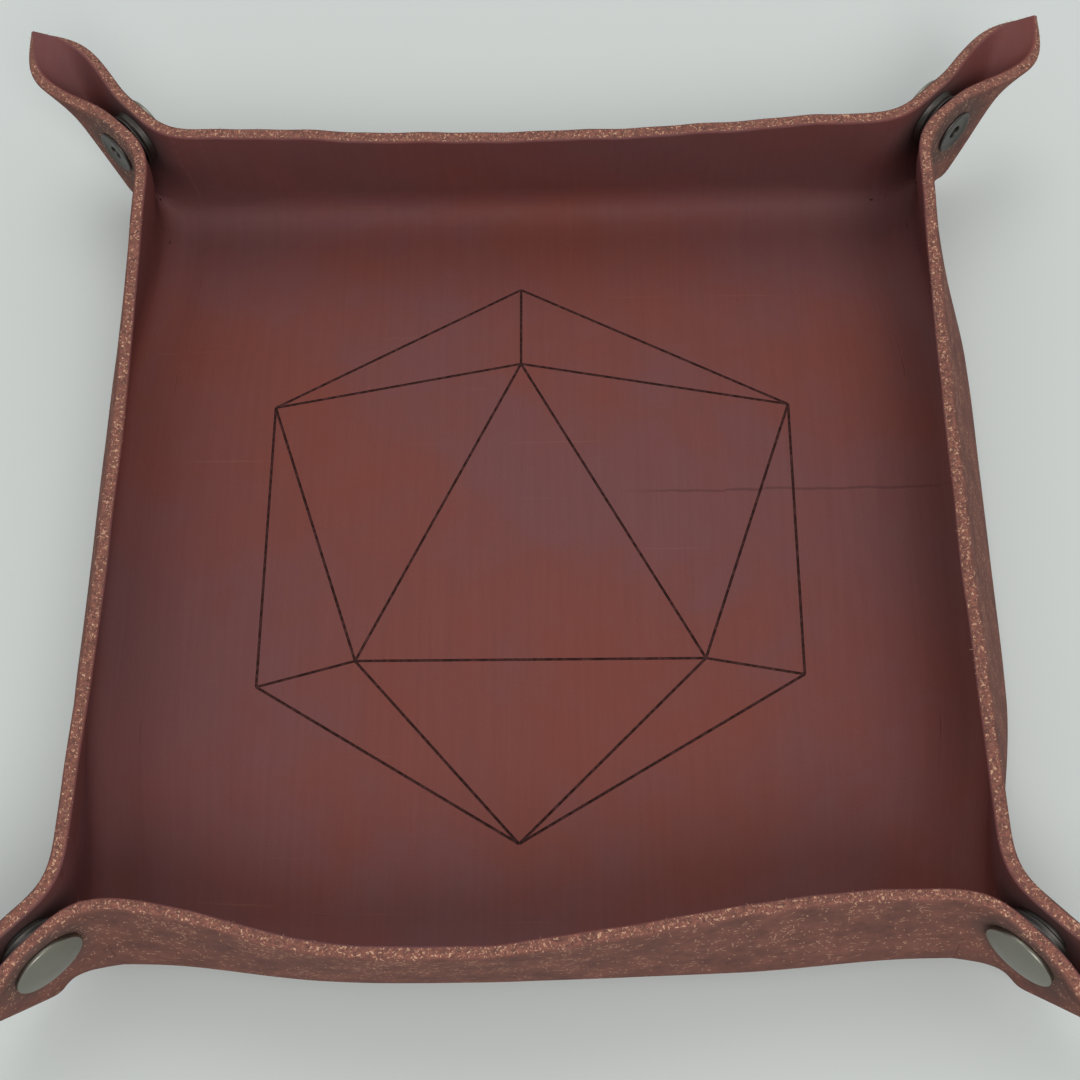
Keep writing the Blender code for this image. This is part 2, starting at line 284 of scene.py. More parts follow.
# Light: two large lamps, with place and power, and the even surroundings
SOFT_LAMPS = (("front_lamp", (0.3, -0.95, 1.2), 9.5), ("back_lamp", (-0.1, 0.65, 1.35), 3.2))
LAMP_SIZE = 0.8
SKY_STRENGTH = 0.72

# Camera of the photograph: place, and its right, up and backward directions
CAMERA_PLACE = (0.0134, -0.1511, 0.3305)
CAMERA_RIGHT = (0.99927, 0.00004, -0.03819)
CAMERA_UP = (0.01601, 0.9074, 0.41995)
CAMERA_BACK = (0.03467, -0.42026, 0.90674)
CAMERA_LENS = 56.98
CAMERA_SENSOR = 36.0


def linear(code):
    """An sRGB hex colour as linear values."""
    values = [int(code[i : i + 2], 16) / 255 for i in (1, 3, 5)]
    return [v / 12.92 if v <= 0.04045 else ((v + 0.055) / 1.055) ** 2.4 for v in values]


def length(name, description, default_mm):
    return FloatProperty(name=name, description=description, default=default_mm * MM, unit='LENGTH', precision=5)


def angle(name, description, degrees_out):
    return FloatProperty(name=name, description=description, default=radians(degrees_out), unit='ROTATION')


def colour(name, description, code):
    return FloatVectorProperty(
        name=name, description=description, default=linear(code), subtype='COLOR', min=0, max=1
    )


class TraySizes(bpy.types.PropertyGroup):
    """Sizes of the leather"""

    leather: length("Leather", "Thickness of the sheet", 2.6)
    floor_half: length("Half floor", "From the middle of the floor to its folds", 88.5)
    wall: length("Wall", "Height of the walls along the sheet", 35.5)
    end_lean: angle("Lean beside the ears", "Lean of every wall at its ends, outward positive", -9)
    front_lean: angle("Front lean", "Lean of the front wall at its middle", 6.5)
    back_lean: angle("Back lean", "Lean of the back wall at its middle", -13)
    left_lean: angle("Left lean", "Lean of the left wall at its middle", -10.5)
    right_lean: angle("Right lean", "Lean of the right wall at its middle", -10)
    ear_slant: angle("Ear slant", "Slant of the fold between a wall and an ear", 17)
    ear_mouth: length("Ear mouth", "Half the opening of an ear at its tip", 11.3)
    ear_straight: length("Ear straight", "Length of an ear before its mouth opens", 28)
    flap_gap: length("Flap gap", "Room between the two flaps at a snap", 3.4)
    snap_below_rim: length("Snap below rim", "From the rim to the middle of a snap", 9.0)


class SnapSizes(bpy.types.PropertyGroup):
    """Sizes of the press snaps"""

    cap_radius: length("Cap radius", "Radius of the cap", 6.9)
    cap_crown: length("Cap crown", "Height of the cap at its middle, over its seat", 1.9)
    cap_edge: length("Cap edge", "Height of the cap at its edge, over its seat", 1.1)
    post_radius: length("Post radius", "Radius of the cap's post", 1.5)
    socket_radius: length("Socket radius", "Radius of the socket", 6.25)
    socket_height: length("Socket height", "Height of the socket", 2.3)
    socket_mouth: length("Socket mouth", "Radius of the socket's opening", 2.9)
    flange_radius: length("Stud flange", "Radius of the stud's flange", 5.0)
    head_radius: length("Stud head", "Radius of the stud's head", 2.5)
    head_rise: length("Stud rise", "Height of the stud's head over its flange", 1.3)
    eyelet_radius: length("Eyelet radius", "Radius of the eyelet's flange", 4.8)
    eyelet_bore: length("Eyelet bore", "Radius of the eyelet's bore", 1.5)
    plate: length("Plate", "Thickness of the pressed plates", 0.5)


class TrayColours(bpy.types.PropertyGroup):
    """Colours of the leather, the metal and the stage"""

    grain: colour("Grain", "Dyed grain where the dye is thin", "#753F37")
    grain_deep: colour("Deep grain", "Dyed grain where the dye is thick", "#6E4443")
    # Darker dye in some patches, and the colour of painted shade toward the folds, up the walls and in the floor's
    # corners
    plum_and_shade: colour("Plum", "Dye toward the edges and corners", "#66474A")
    scorch: colour("Scorch", "Burnt line of the figure", "#2E1B18")
    flesh: colour("Flesh", "Raw side of the leather", "#7C5248")
    flesh_deep: colour("Deep flesh", "Hollows of the raw side", "#60423C")
    fibre: colour("Fibre", "Loose pale fibres of the raw side", "#D6A98A")
    edge: colour("Edge", "Cut edge of the sheet", "#8E5B4E")
    plating: colour("Plating", "Smooth plating of the caps", "#87857A")
    # The blackened plating's colour is also painted on the leather round the snaps as shade
    patina_and_shade: colour("Patina", "Blackened plating of the sockets and studs", "#4A4744")
    table: colour("Table", "Table under the tray", "#CDD1CE")
    sky: colour("Surroundings", "Pale surroundings", "#F2F5F6")


def sizes():
    return bpy.context.scene.tray_sizes


def snaps():
    return bpy.context.scene.tray_snaps


def colours():
    return bpy.context.scene.tray_colours


# The folded sheet. A place on the flat sheet is given across and along from its middle.

def ease(x):
    """Smooth step from 0 to 1."""
    x = np.clip(x, 0, 1)
    return x * x * (3 - 2 * x)


def lean(middle, place, shift=0.0):
    """Lean of a wall: its middle value, easing to the shared value at both ends."""
    centred = place - shift * (1 - np.abs(place) / sizes().floor_half)
    share = ease((np.abs(centred) - BOW_FLAT) / (BOW_END - BOW_FLAT))
    return middle + (sizes().end_lean - middle) * share


def bow(place):
    """Share of a wall's foot swell at a place along it: all of it at the middle, none beside the ears."""
    return 1 - ease((np.abs(place) - FOOT_FLAT) / (BOW_END - FOOT_FLAT))


def pinched(p, q):
    """Ear: distances outward along the corner's diagonal, up, and sideways from it."""
    flap = (sizes().flap_gap + sizes().leather) / 2
    tip = sizes().wall * sqrt(2)
    across = np.abs(q - p) / sqrt(2)
    along = (p + q) / sqrt(2)
    open_share = ease((along - sizes().ear_straight) / (tip - sizes().ear_straight))
    radius = flap + (sizes().ear_mouth - flap) * open_share
    turn = np.minimum(across / radius, pi / 2)
    sideways = radius * np.sin(turn)
    away = radius * (1 - np.cos(turn)) + np.maximum(across - radius * pi / 2, 0)
    lift = sum(rise * ease((along - start) / fade) for rise, start, fade in KEEL_LIFTS)
    away = away + lift * (1 - ease(across / LIFT_WIDTH))
    return (along - away) / sqrt(2), (along + away) / sqrt(2), np.where(p > q, sideways, -sideways)


def creased(across, along):
    """The sheet folded with sharp creases."""
    half = sizes().floor_half
    side_x = np.where(across < 0, -1.0, 1.0)
    side_y = np.where(along < 0, -1.0, 1.0)
    p = np.abs(across) - half
    q = np.abs(along) - half
    front = lean(sizes().front_lean, across, -BOW_SHIFT)
    tilt_y = np.where(along < 0, front, lean(sizes().back_lean, across))
    tilt_x = np.where(across < 0, lean(sizes().left_lean, along), lean(sizes().right_lean, along))
    wall_y = (q > 0) & (p <= 0)
    wall_x = (p > 0) & (q <= 0)
    outward, upward, sideways = pinched(np.maximum(p, 0), np.maximum(q, 0))
    ear = (p > 0) & (q > 0)
    foot_x = np.where(across < 0, FOOT_SWELL["left"], FOOT_SWELL["right"]) * bow(along)
    foot_y = np.where(along < 0, FOOT_SWELL["front"], FOOT_SWELL["back"]) * bow(across)
    slope_x = np.sin(tilt_x) - foot_x / sizes().wall
    slope_y = np.sin(tilt_y) - foot_y / sizes().wall
    floor_x = p + foot_x * ease(1 + p / FOOT_FLOOR)
    floor_y = q + foot_y * ease(1 + q / FOOT_FLOOR)
    x = half + np.select([wall_x, ear], [foot_x + p * slope_x, (outward + sideways) / sqrt(2)], floor_x)
    y = half + np.select([wall_y, ear], [foot_y + q * slope_y, (outward - sideways) / sqrt(2)], floor_y)
    z = np.select([wall_x, wall_y, ear], [p * np.sqrt(1 - slope_x**2), q * np.sqrt(1 - slope_y**2), upward], 0.0)
    return np.stack([side_x * x, side_y * y, z], -1)


def folded(across, along, samples_across, samples_along):
    """Middle layer of the folded leather: soft creases, pressed flat at each snap."""
    half = sizes().floor_half
    flap = (sizes().flap_gap + sizes().leather) / 2
    side_x = np.where(across < 0, -1.0, 1.0)
    side_y = np.where(along < 0, -1.0, 1.0)
    p = np.abs(across) - half
    q = np.abs(along) - half
    low = np.minimum(p, q)
    high = np.maximum(p, q)
    keel = ease((low + high - KEEL_START) / KEEL_FADE) * (1 - ease((high - low - KEEL_WIDTH) / KEEL_FADE))
    reach = BEND_REACH * (1 - KEEL_SHARPNESS_SHARE * keel)
    soft = 0
    for dx, weight_x in samples_across:
        for dy, weight_y in samples_along:
            soft = soft + weight_x * weight_y * creased(across + dx * reach, along + dy * reach)
    snap_height = sizes().wall - sizes().snap_below_rim
    pressed = snaps().cap_radius + PRESS_MARGIN
    press = 1 - ease((np.hypot(low, high - snap_height) - pressed) / PRESS_FADE)
    sideways = np.where(p > q, flap, -flap)
    flat_x = side_x * (half + (low + sideways) / sqrt(2))
    flat_y = side_y * (half + (low - sideways) / sqrt(2))
    flat = np.stack([flat_x, flat_y, high], -1)
    place = soft * (1 - press[..., None]) + flat * press[..., None]
    place[..., 2] += sizes().leather / 2
    return place


def spread(count):
    """Places from -1 to 1 with their weights in an average."""
    weights = np.ones(count)
    weights[[0, -1]] = 0.5
    return list(zip(np.linspace(-1, 1, count), weights / weights.sum()))


FINE = spread(BEND_SAMPLES)
COARSE = [(-1, 1 / 6), (0, 4 / 6), (1, 1 / 6)]


def with_slopes(across, along, *samples):
    """Places of the middle layer, and how they move with each sheet coordinate."""
    here = folded(across, along, *samples)
    ahead = folded(across + SLOPE_STEP, along, *samples)
    beside = folded(across, along + SLOPE_STEP, *samples)
    return np.stack([here, (ahead - here) / SLOPE_STEP, (beside - here) / SLOPE_STEP])


def freed(distance, held):
    """How free the leather is at a distance: 0 where it is held, 1 a length further."""
    return ease((distance - held[0]) / held[1])


def settled_corner():
    """Places of the back right corner on its grid, as folded and after the leather has settled."""
    places = np.arange(-PATCH_INNER, sizes().wall + PATCH_OUTER, PATCH_STEP)
    p, q = np.meshgrid(places, places, indexing='ij')
    low, high = np.minimum(p, q), np.maximum(p, q)
    samples = spread(PATCH_SAMPLES)
    half = np.triu(np.ones(p.shape, bool))
    raw = np.zeros((*p.shape, 3))
    raw[half] = folded(sizes().floor_half + p[half], sizes().floor_half + q[half], samples, samples)
    raw[~half] = raw.transpose(1, 0, 2)[~half][:, [1, 0, 2]]
    from_snap = np.hypot(low, high - sizes().wall + sizes().snap_below_rim)
    free = freed(from_snap, HELD_AT_SNAP) * freed(high, HELD_AT_FLOOR)
    free = free * freed((high - low) / sqrt(2), HELD_AT_KEEL) * freed(low, HELD_IN_WALL)
    free = SETTLE_RATE * free[1:-1, 1:-1, None]
    settled = raw.copy()
    for _ in range(SETTLE_ROUNDS):
        beside = settled[2:, 1:-1] + settled[:-2, 1:-1] + settled[1:-1, 2:] + settled[1:-1, :-2]
        settled[1:-1, 1:-1] += free * (beside - 4 * settled[1:-1, 1:-1])
    return raw, settled, ease(((p + q) / sqrt(2) - TIP_START) / TIP_FADE)


patches = {}


def make_patches():
    """Settles one corner and gives each of the four its own sag. The last patch holds what settling moved."""
    raw, settled, tip = settled_corner()
    for sides, (inward, up) in TIP_SHIFTS.items():
        shift = np.array([-inward / sqrt(2), -inward / sqrt(2), up])
        patches[sides] = settled + tip[..., None] * shift
    patches["moved"] = settled - raw


def between(patch, low, high):
    """Smooth values between a patch's places, and how they change with both sheet coordinates."""
    cells, weights = [], []
    for place in (low, high):
        steps = (place - sizes().floor_half + PATCH_INNER) / PATCH_STEP
        cell = np.clip(np.floor(steps).astype(int), 1, len(patch) - 3)
        t = steps - cell
        share = [-t + 2 * t**2 - t**3, 2 - 5 * t**2 + 3 * t**3, t + 4 * t**2 - 3 * t**3, t**3 - t**2]
        slope = [4 * t - 1 - 3 * t**2, 9 * t**2 - 10 * t, 1 + 8 * t - 9 * t**2, 3 * t**2 - 2 * t]
        cells.append(cell)
        weights.append((np.array(share) / 2, np.array(slope) / 2 / PATCH_STEP))
    values = np.zeros((3, len(low), 3))
    for i in range(4):
        for j in range(4):
            near = patch[cells[0] + i - 1, cells[1] + j - 1]
            for part, (first, second) in enumerate(((0, 0), (1, 0), (0, 1))):
                values[part] += (weights[0][first][i] * weights[1][second][j])[:, None] * near
    return values


def from_patch(across, along, own_sag):
    """Places or shifts of the settled leather with their slopes, mirrored into the corners."""
    values = np.zeros((3, len(across), 3))
    for side_x, side_y in CORNERS.values():
        here = (across * side_x > 0) & (along * side_y > 0)
        patch = patches[side_x, side_y] if own_sag else patches["moved"]
        part = between(patch, across[here] * side_x, along[here] * side_y) * (side_x, side_y, 1)
        part[1] *= side_x
        part[2] *= side_y
        values[:, here] = part
    return values


def swell(across, along):
    """Slight unevenness of the walls and ears, away from the folds and the snaps."""
    p = np.abs(across) - sizes().floor_half
    q = np.abs(along) - sizes().floor_half
    high = np.maximum(p, q)
    snap_height = sizes().wall - sizes().snap_below_rim
    from_snap = np.hypot(np.minimum(p, q), high - snap_height)
    share = freed(high, SWELL_OFF_FOLD) * freed(from_snap, SWELL_OFF_SNAP)
    x, y = across / MM, along / MM
    waves = np.sin(x / 6.1 + 1.4 * np.sin(y / 8.3) + 0.7) + 0.8 * np.sin(y / 5.7 - x / 12.9 + 2.1)
    waves = waves + 0.5 * np.sin(x / 3.3 + y / 3.9)
    return SWELL * share * waves / 2


def laid(across, along):
    """Places in the middle of the leather and directions toward its grain, from sheet places."""
    if not patches:
        make_patches()
    low = np.minimum(np.abs(across), np.abs(along)) - sizes().floor_half
    near = low > -BEND_REACH
    sideways = ~near & (np.abs(across) > np.abs(along))
    endways = ~near & ~sideways
    beside_patch = ~near & (low > PATCH_MARGIN - PATCH_INNER)
    parts = np.zeros((3, len(across), 3))
    for chosen, samples in ((sideways, (FINE, COARSE)), (endways, (COARSE, FINE))):
        if chosen.any():
            parts[:, chosen] = with_slopes(across[chosen], along[chosen], *samples)
    parts[:, beside_patch] += from_patch(across[beside_patch], along[beside_patch], False)
    parts[:, near] = from_patch(across[near], along[near], True)
    here, run, rise = parts
    toward_grain = unit_length(np.cross(run, rise))
    wave = swell(across, along)
    wave_run = (swell(across + SLOPE_STEP, along) - wave) / SLOPE_STEP
    wave_rise = (swell(across, along + SLOPE_STEP) - wave) / SLOPE_STEP
    here = here + toward_grain * wave[:, None]
    toward_grain = unit_length(toward_grain - run * wave_run[:, None] - rise * wave_rise[:, None])
    return here, toward_grain, unit_length(run), unit_length(rise)


def unit_length(vectors):
    return vectors / np.linalg.norm(vectors, axis=-1, keepdims=True)


# Work on meshes

def deselect():
    bpy.ops.object.select_all(action='DESELECT')


def read(mesh, items, name, size):
    values = np.empty(len(getattr(mesh, items)) * size, dtype=float)
    getattr(mesh, items).foreach_get(name, values)
    return values.reshape(-1, size) if size > 1 else values


def keep(mesh, name, values):
    """Stores one value or direction for each vertex, which modifiers carry on to their new vertices."""
    kind, field = ('FLOAT', "value") if values.ndim == 1 else ('FLOAT_VECTOR', "vector")
    mesh.attributes.new(name, kind, 'POINT').data.foreach_set(field, values.ravel())


def kept(mesh, name, size):
    data = mesh.attributes[name].data
    values = np.empty(len(data) * size, dtype=np.float32)
    data.foreach_get("value" if size == 1 else "vector", values)
    return values.astype(float).reshape(-1, size) if size > 1 else values.astype(float)


def edit(*steps):
    """Edit mode on the active object: each step is an operator with its settings."""
    bpy.ops.object.mode_set(mode='EDIT')
    for operator, settings in steps:
        operator(**settings)
    bpy.ops.object.mode_set(mode='OBJECT')


def select_vertices(mesh, chosen):
    mesh.polygons.foreach_set("select", np.zeros(len(mesh.polygons), bool))
    mesh.edges.foreach_set("select", np.zeros(len(mesh.edges), bool))
    mesh.vertices.foreach_set("select", chosen)


def panel_grid(name, columns, rows):
    """A flat grid, with the column and the row of each vertex."""
    deselect()
    bpy.ops.mesh.primitive_grid_add(x_subdivisions=columns, y_subdivisions=rows, size=1)
    panel = bpy.context.object
    panel.name = panel.data.name = name
    flat = read(panel.data, "vertices", "co", 3) + 0.5
    column = np.rint(flat[:, 0] * columns).astype(int)
    row = np.rint(flat[:, 1] * rows).astype(int)
    return panel, column, row


def fold_panel(panel, across, along, share):
    """Lays a grid on the folded sheet, stores the share of the leather's thickness at its vertices, and gives it its
    finishes.
    """
    mesh = panel.data
    middle, toward_grain, _, _ = laid(across, along)
    mesh.vertices.foreach_set("co", middle.ravel())
    for name, values in (("middle", middle), ("toward_grain", toward_grain), ("share", share)):
        keep(mesh, name, values)
    places = mesh.uv_layers.active
    places.name = "sheet"
    corners = read(mesh, "loops", "vertex_index", 1).astype(int)
    places.data.foreach_set("uv", np.stack([across[corners], along[corners]], -1).ravel())
    bpy.ops.object.shade_smooth()
    first = mesh.polygons[0]
    facing = Vector(toward_grain[list(first.vertices)].mean(0))
    mesh.update()
    if first.normal.dot(facing) < 0:
        edit((bpy.ops.mesh.select_all, {"action": 'SELECT'}), (bpy.ops.mesh.flip_normals, {}))
    for finish in (dyed_grain(), raw_flesh(), cut_edge()):
        mesh.materials.append(finish)


def thicken(panel):
    """Gives a laid panel its two faces and its rim, each in its own finish."""
    edit(
        (bpy.ops.mesh.select_all, {"action": 'SELECT'}),
        (bpy.ops.mesh.remove_doubles, {"threshold": 0.001 * MM}),
    )
    thick = panel.modifiers.new("Leather", 'SOLIDIFY')
    thick.thickness = sizes().leather
    thick.offset = 0
    thick.material_offset = 1
    thick.material_offset_rim = 2
    bpy.ops.object.modifier_apply(modifier="Leather")
    mesh = panel.data
    middle = kept(mesh, "middle", 3)
    toward_grain = kept(mesh, "toward_grain", 3)
    share = kept(mesh, "share", 1)
    place = read(mesh, "vertices", "co", 3)
    side = np.sign(np.einsum('ij,ij->i', place - middle, toward_grain))
    place = middle + toward_grain * (side * share * sizes().leather / 2)[:, None]
    mesh.vertices.foreach_set("co", place.ravel())

    finish = read(mesh, "polygons", "material_index", 1).astype(int)
    counts = read(mesh, "polygons", "loop_total", 1).astype(int)
    corners = read(mesh, "loops", "vertex_index", 1).astype(int)
    edges = read(mesh, "loops", "edge_index", 1).astype(int)
    finish_at = np.repeat(finish, counts)
    face_at = np.repeat(np.arange(len(counts)), counts)
    face_share = np.bincount(face_at, share[corners]) / counts
    seam = (finish == 2) & (face_share > RIM_BELOW)
    sharp = np.zeros(len(mesh.edges), bool)
    sharp[edges[seam[face_at]]] = True
    mesh.attributes.new("sharp_edge", 'BOOLEAN', 'EDGE').data.foreach_set("value", sharp)
    plain = (share[corners] > ROUNDED_BELOW) & (finish_at < 2)
    facing = np.where(finish_at == 0, 1.0, -1.0)
    normals = np.where(plain[:, None], toward_grain[corners] * facing[:, None], 0.0)
    mesh.normals_split_custom_set(normals.tolist())
    finish[seam] = 0
    mesh.polygons.foreach_set("material_index", finish)
    for name in ("middle", "toward_grain", "share"):
        mesh.attributes.remove(mesh.attributes[name])
    mesh.update()


def heights():
    """Sheet distances past a fold of the floor, and the share of the thickness at each."""
    wall = sizes().wall
    rows = [(q, 1.0) for q in np.linspace(0, wall - EDGE_ROWS[0][0], RISE_ROWS)[:-1]]
    rows += [(wall - from_edge, share) for from_edge, share in EDGE_ROWS]
    return np.array(rows).T


def seam_run(q):
    """How far from its middle a wall meets the ears, at a sheet distance past the fold."""
    before_fold = EAR_SEAM * ease(q / EAR_SEAM_GROWTH)
    return sizes().floor_half - q * tan(sizes().ear_slant) - before_fold


def ear_halves():
    """The name of each half of an ear, its wall, its kind and the sides of its corner."""
    for corner, sides in CORNERS.items():
        for wall, kind in zip(corner.split("_"), ("end", "side")):
            yield corner + "_" + kind, wall, kind, sides


def on_wall(wall, run, out):
    """Sheet places of a wall, from distances along it and outward."""
    side_x, side_y = WALLS[wall]
    return (run, side_y * out) if side_y else (side_x * out, run)


def on_ear(kind, sides, run, out):
    """Sheet places of half an ear, from distances along its wall and outward."""
    across, along = (run, out) if kind == "end" else (out, run)
    return sides[0] * across, sides[1] * along


def keel_lap(q, sides):
    """How far half an ear goes on past the keel, at a sheet distance past the fold."""
    inward, up = TIP_SHIFTS[sides]
    square_to_keel = sum(rise for rise, _, _ in KEEL_LIFTS) + (inward + up) / sqrt(2)
    root = LAP_LEAST + LAP_ROOT * (1 - ease(q / LAP_ROOT_FADE))
    lap = root + LAP_SHARE * square_to_keel * ease((q - LAP_START) / LAP_FADE)
    return np.minimum(lap, (sizes().wall - q) * LAP_SHORT_OF_RIM)


def edge_wander(run, out):
    """The cut edge isn't quite straight."""
    near = ease(1 - (sizes().floor_half + sizes().wall - out) / EDGE_WANDER_REACH)
    beside = 1 - freed(np.abs(run), EDGE_WANDER_OFF_EARS)
    x = run / MM
    return EDGE_WANDER * near * beside * (np.sin(x / 4.3) + 0.6 * np.sin(x / 1.9 + 1))


def active(piece):
    deselect()
    piece.select_set(True)
    bpy.context.view_layer.objects.active = piece


class TRAY_OT_floor(bpy.types.Operator):
    """Flat floor with the line figure burnt into it"""

    bl_idname = "tray.floor"
    bl_label = "Floor"

    def execute(self, context):
        floor, column, row = panel_grid("tray_floor", FLOOR_CELLS, FLOOR_CELLS)
        half = sizes().floor_half - FLOOR_SEAM
        across = (column / FLOOR_CELLS * 2 - 1) * half
        along = (row / FLOOR_CELLS * 2 - 1) * half
        fold_panel(floor, across, along, np.ones(len(across)))
        thicken(floor)
        burners = bpy.data.collections.new("burners")
        context.scene.collection.children.link(burners)
        top = sizes().leather
        for line in FIGURE_LINES:
            ends = []
            for point in line.split():
                share = Vector((*FIGURE_POINTS[point], 0))
                ends.append(share * FIGURE_RADIUS + Vector((*FIGURE_PLACE, top)))
            run = ends[1] - ends[0]
            turn = run.to_track_quat('Z', 'Y').to_matrix().to_4x4()
            deselect()
            bpy.ops.mesh.primitive_cylinder_add(
                vertices=FIGURE_LINE_SIDES, radius=FIGURE_LINE, depth=run.length, end_fill_type='NGON'
            )
            burner = context.object
            burner.matrix_world = Matrix.Translation((ends[0] + ends[1]) / 2) @ turn
            burner.data.materials.append(scorched_line())
            for old in burner.users_collection:
                old.objects.unlink(burner)
            burners.objects.link(burner)
        active(floor)
        cut = floor.modifiers.new("Figure", 'BOOLEAN')
        cut.operation = 'DIFFERENCE'
        cut.solver = 'EXACT'
        cut.operand_type = 'COLLECTION'
        cut.collection = burners
        cut.material_mode = 'TRANSFER'
        bpy.ops.object.modifier_apply(modifier="Figure")
        for burner in list(burners.objects):
            bpy.data.objects.remove(burner)
        bpy.data.collections.remove(burners)
        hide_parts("floor")
        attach(floor, "base")
        return {'FINISHED'}


class TRAY_OT_walls(bpy.types.Operator):
    """Four walls, each bending up out of the floor"""

    bl_idname = "tray.walls"
    bl_label = "Walls"

    def execute(self, context):
        q, share = heights()
        q = np.concatenate([np.linspace(-FLOOR_SEAM, 0, BEND_ROWS, endpoint=False), q])
        share = np.concatenate([np.ones(BEND_ROWS), share])
        half = np.where(q < 0, sizes().floor_half + q, seam_run(np.maximum(q, 0)))
        for wall in WALLS:
            panel, column, row = panel_grid("tray_" + wall + "_wall", WALL_COLUMNS, len(q) - 1)
            s = column / WALL_COLUMNS * 2 - 1
            run = half[row] * (s + np.sin(s * pi / 2)) / 2
            out = sizes().floor_half + q[row]
            fold_panel(panel, *on_wall(wall, run, out + edge_wander(run, out)), share[row])
            thicken(panel)
            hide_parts(wall + "_wall")
            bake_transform(panel)
        return {'FINISHED'}


class TRAY_OT_ears(bpy.types.Operator):
    """Eight halves of the pinched corners, each with the hole of its snap"""

    bl_idname = "tray.ears"
    bl_label = "Ears"

    def execute(self, context):
        q, share = heights()
        for name, wall, kind, sides in ear_halves():
            ear, column, row = panel_grid("tray_" + name + "_ear", EAR_COLUMNS + LAP_COLUMNS, len(q) - 1)
            t = np.minimum(column / EAR_COLUMNS, 1)
            t = EAR_SPACING[0] * t + EAR_SPACING[1] * np.sin(t * pi / 2)
            inner = seam_run(q[row])
            past_keel = np.maximum(column - EAR_COLUMNS, 0) / LAP_COLUMNS * keel_lap(q[row], sides)
            run = inner + (sizes().floor_half + q[row] - inner) * t + past_keel
            out = sizes().floor_half + q[row]
            sunk = share[row] * (1 - LAP_SUNK * ease(past_keel / LAP_SINKS_OVER))
            run, out, inside = around_hole(run, out, column, row, kind)
            fold_panel(ear, *on_ear(kind, sides, run, out), sunk)
            select_vertices(ear.data, inside)
            edit((bpy.ops.mesh.select_mode, {"type": 'VERT'}), (bpy.ops.mesh.delete, {"type": 'VERT'}))
            thicken(ear)
            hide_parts(name + "_ear")
            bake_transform(ear)
        return {'FINISHED'}


def around_hole(run, out, column, row, kind):
    """Moves the grid's vertices round a snap's hole onto its edge, and says which lie inside it."""
    radius = snaps().post_radius if kind == "end" else snaps().eyelet_bore + snaps().plate
    dx = run - sizes().floor_half
    dy = out - sizes().floor_half - (sizes().wall - sizes().snap_below_rim)
    distance = np.hypot(dx, dy)
    inside = distance < radius
    grid = np.zeros((row.max() + 3, column.max() + 3), bool)
    grid[row[inside] + 1, column[inside] + 1] = True
    beside = np.zeros_like(grid)
    for down in (-1, 0, 1):
        for over in (-1, 0, 1):
            beside |= np.roll(grid, (down, over), (0, 1))
    ring = beside[row + 1, column + 1] & ~inside
    pull = np.where(ring, radius / np.maximum(distance, radius / 2), 1.0)
    return run + dx * (pull - 1), out + dy * (pull - 1), inside


# Turned metal. Local Z points to the outer face of the flap, 0 is halfway between the flaps.

def arc(r, z, radius, start, end, count=5):
    """Points of a profile on an arc, its angles in degrees from outward toward up."""
    turns = np.radians(np.linspace(start, end, count))
    return [(r + radius * cos(turn), z + radius * sin(turn)) for turn in turns]


def cap_profile():
    """Domed disc with a rolled edge, and its post, riveted open inside the socket."""
    seat = sizes().flap_gap / 2 + sizes().leather - PRESSED_IN
    radius, post = snaps().cap_radius, snaps().post_radius
    crown, edge = snaps().cap_crown, snaps().cap_edge
    rolled = radius - ROLL
    points = []
    for share in np.linspace(0, 1, DOME_POINTS):
        points.append((rolled * share, seat + crown - (crown - edge) * share**DOME_POWER))
    points += arc(rolled, seat + edge - ROLL, ROLL, 80, 0)
    points += arc(rolled, seat + ROLL, ROLL, 0, -90)
    post_end = sizes().flap_gap / 2 - 2 * snaps().plate
    points += [(post, seat), (post, post_end + RIVET_NECK), (post * RIVET_FLARE, post_end + RIVET_EDGE)]
    points += [(post * RIVET_FLARE, post_end), (post * RIVET_FACE, post_end), (0, post_end + RIVET_DIMPLE)]
    return points


def socket_profile():
    """Round box, open toward the stud, its wall waisted between two rolled edges."""
    top = sizes().flap_gap / 2 + PRESSED_IN
    foot = top - snaps().socket_height - PRESSED_IN
    radius, mouth = snaps().socket_radius, snaps().socket_mouth
    roll = SOCKET_ROLL
    plate = top - snaps().plate
    (beside_edge, from_edge), waist = SOCKET_WAIST
    points = [(snaps().post_radius, top)]
    points += arc(radius - roll, top - roll, roll, 90, -20)
    points += [(radius - beside_edge, top - from_edge), (radius - waist, (top + foot) / 2)]
    points += [(radius - beside_edge, foot + from_edge)]
    points += arc(radius - roll, foot + roll, roll, 20, -90)
    points += [(mouth + LIP_OUT[0], foot), (mouth + LIP_OUT[1], foot + LIP_STEP)]
    points += arc(mouth + LIP_ROLL, foot + LIP_ROLL, LIP_ROLL, 270, 180)
    points += [(mouth + LIP_STEP, plate), (snaps().post_radius, plate)]
    return points


def stud_profile():
    """Hollow button on a thin flange, waisted so that the socket's spring holds it."""
    back = sizes().flap_gap / 2 + PRESSED_IN
    face = sizes().flap_gap / 2 - STUD_PLAY - snaps().plate
    top = face - snaps().head_rise
    head, flange = snaps().head_radius, snaps().flange_radius
    hollow = head - STUD_SHELL
    points = [(0, top + STUD_SHELL), (hollow, top + STUD_SHELL), (hollow, back)]
    points += arc(flange - FLANGE_ROLL, back - FLANGE_ROLL, FLANGE_ROLL, 90, 0, 3)
    points += arc(flange - FLANGE_ROLL, face + FLANGE_ROLL, FLANGE_ROLL, 0, -90, 3)
    points += [(head + HEAD_FOOT, face), (head - HEAD_WAIST[0], face - HEAD_WAIST[1])]
    points += arc(head - HEAD_ROLL, top + HEAD_ROLL, HEAD_ROLL, 10, -90)
    points += [(0, top)]
    return points


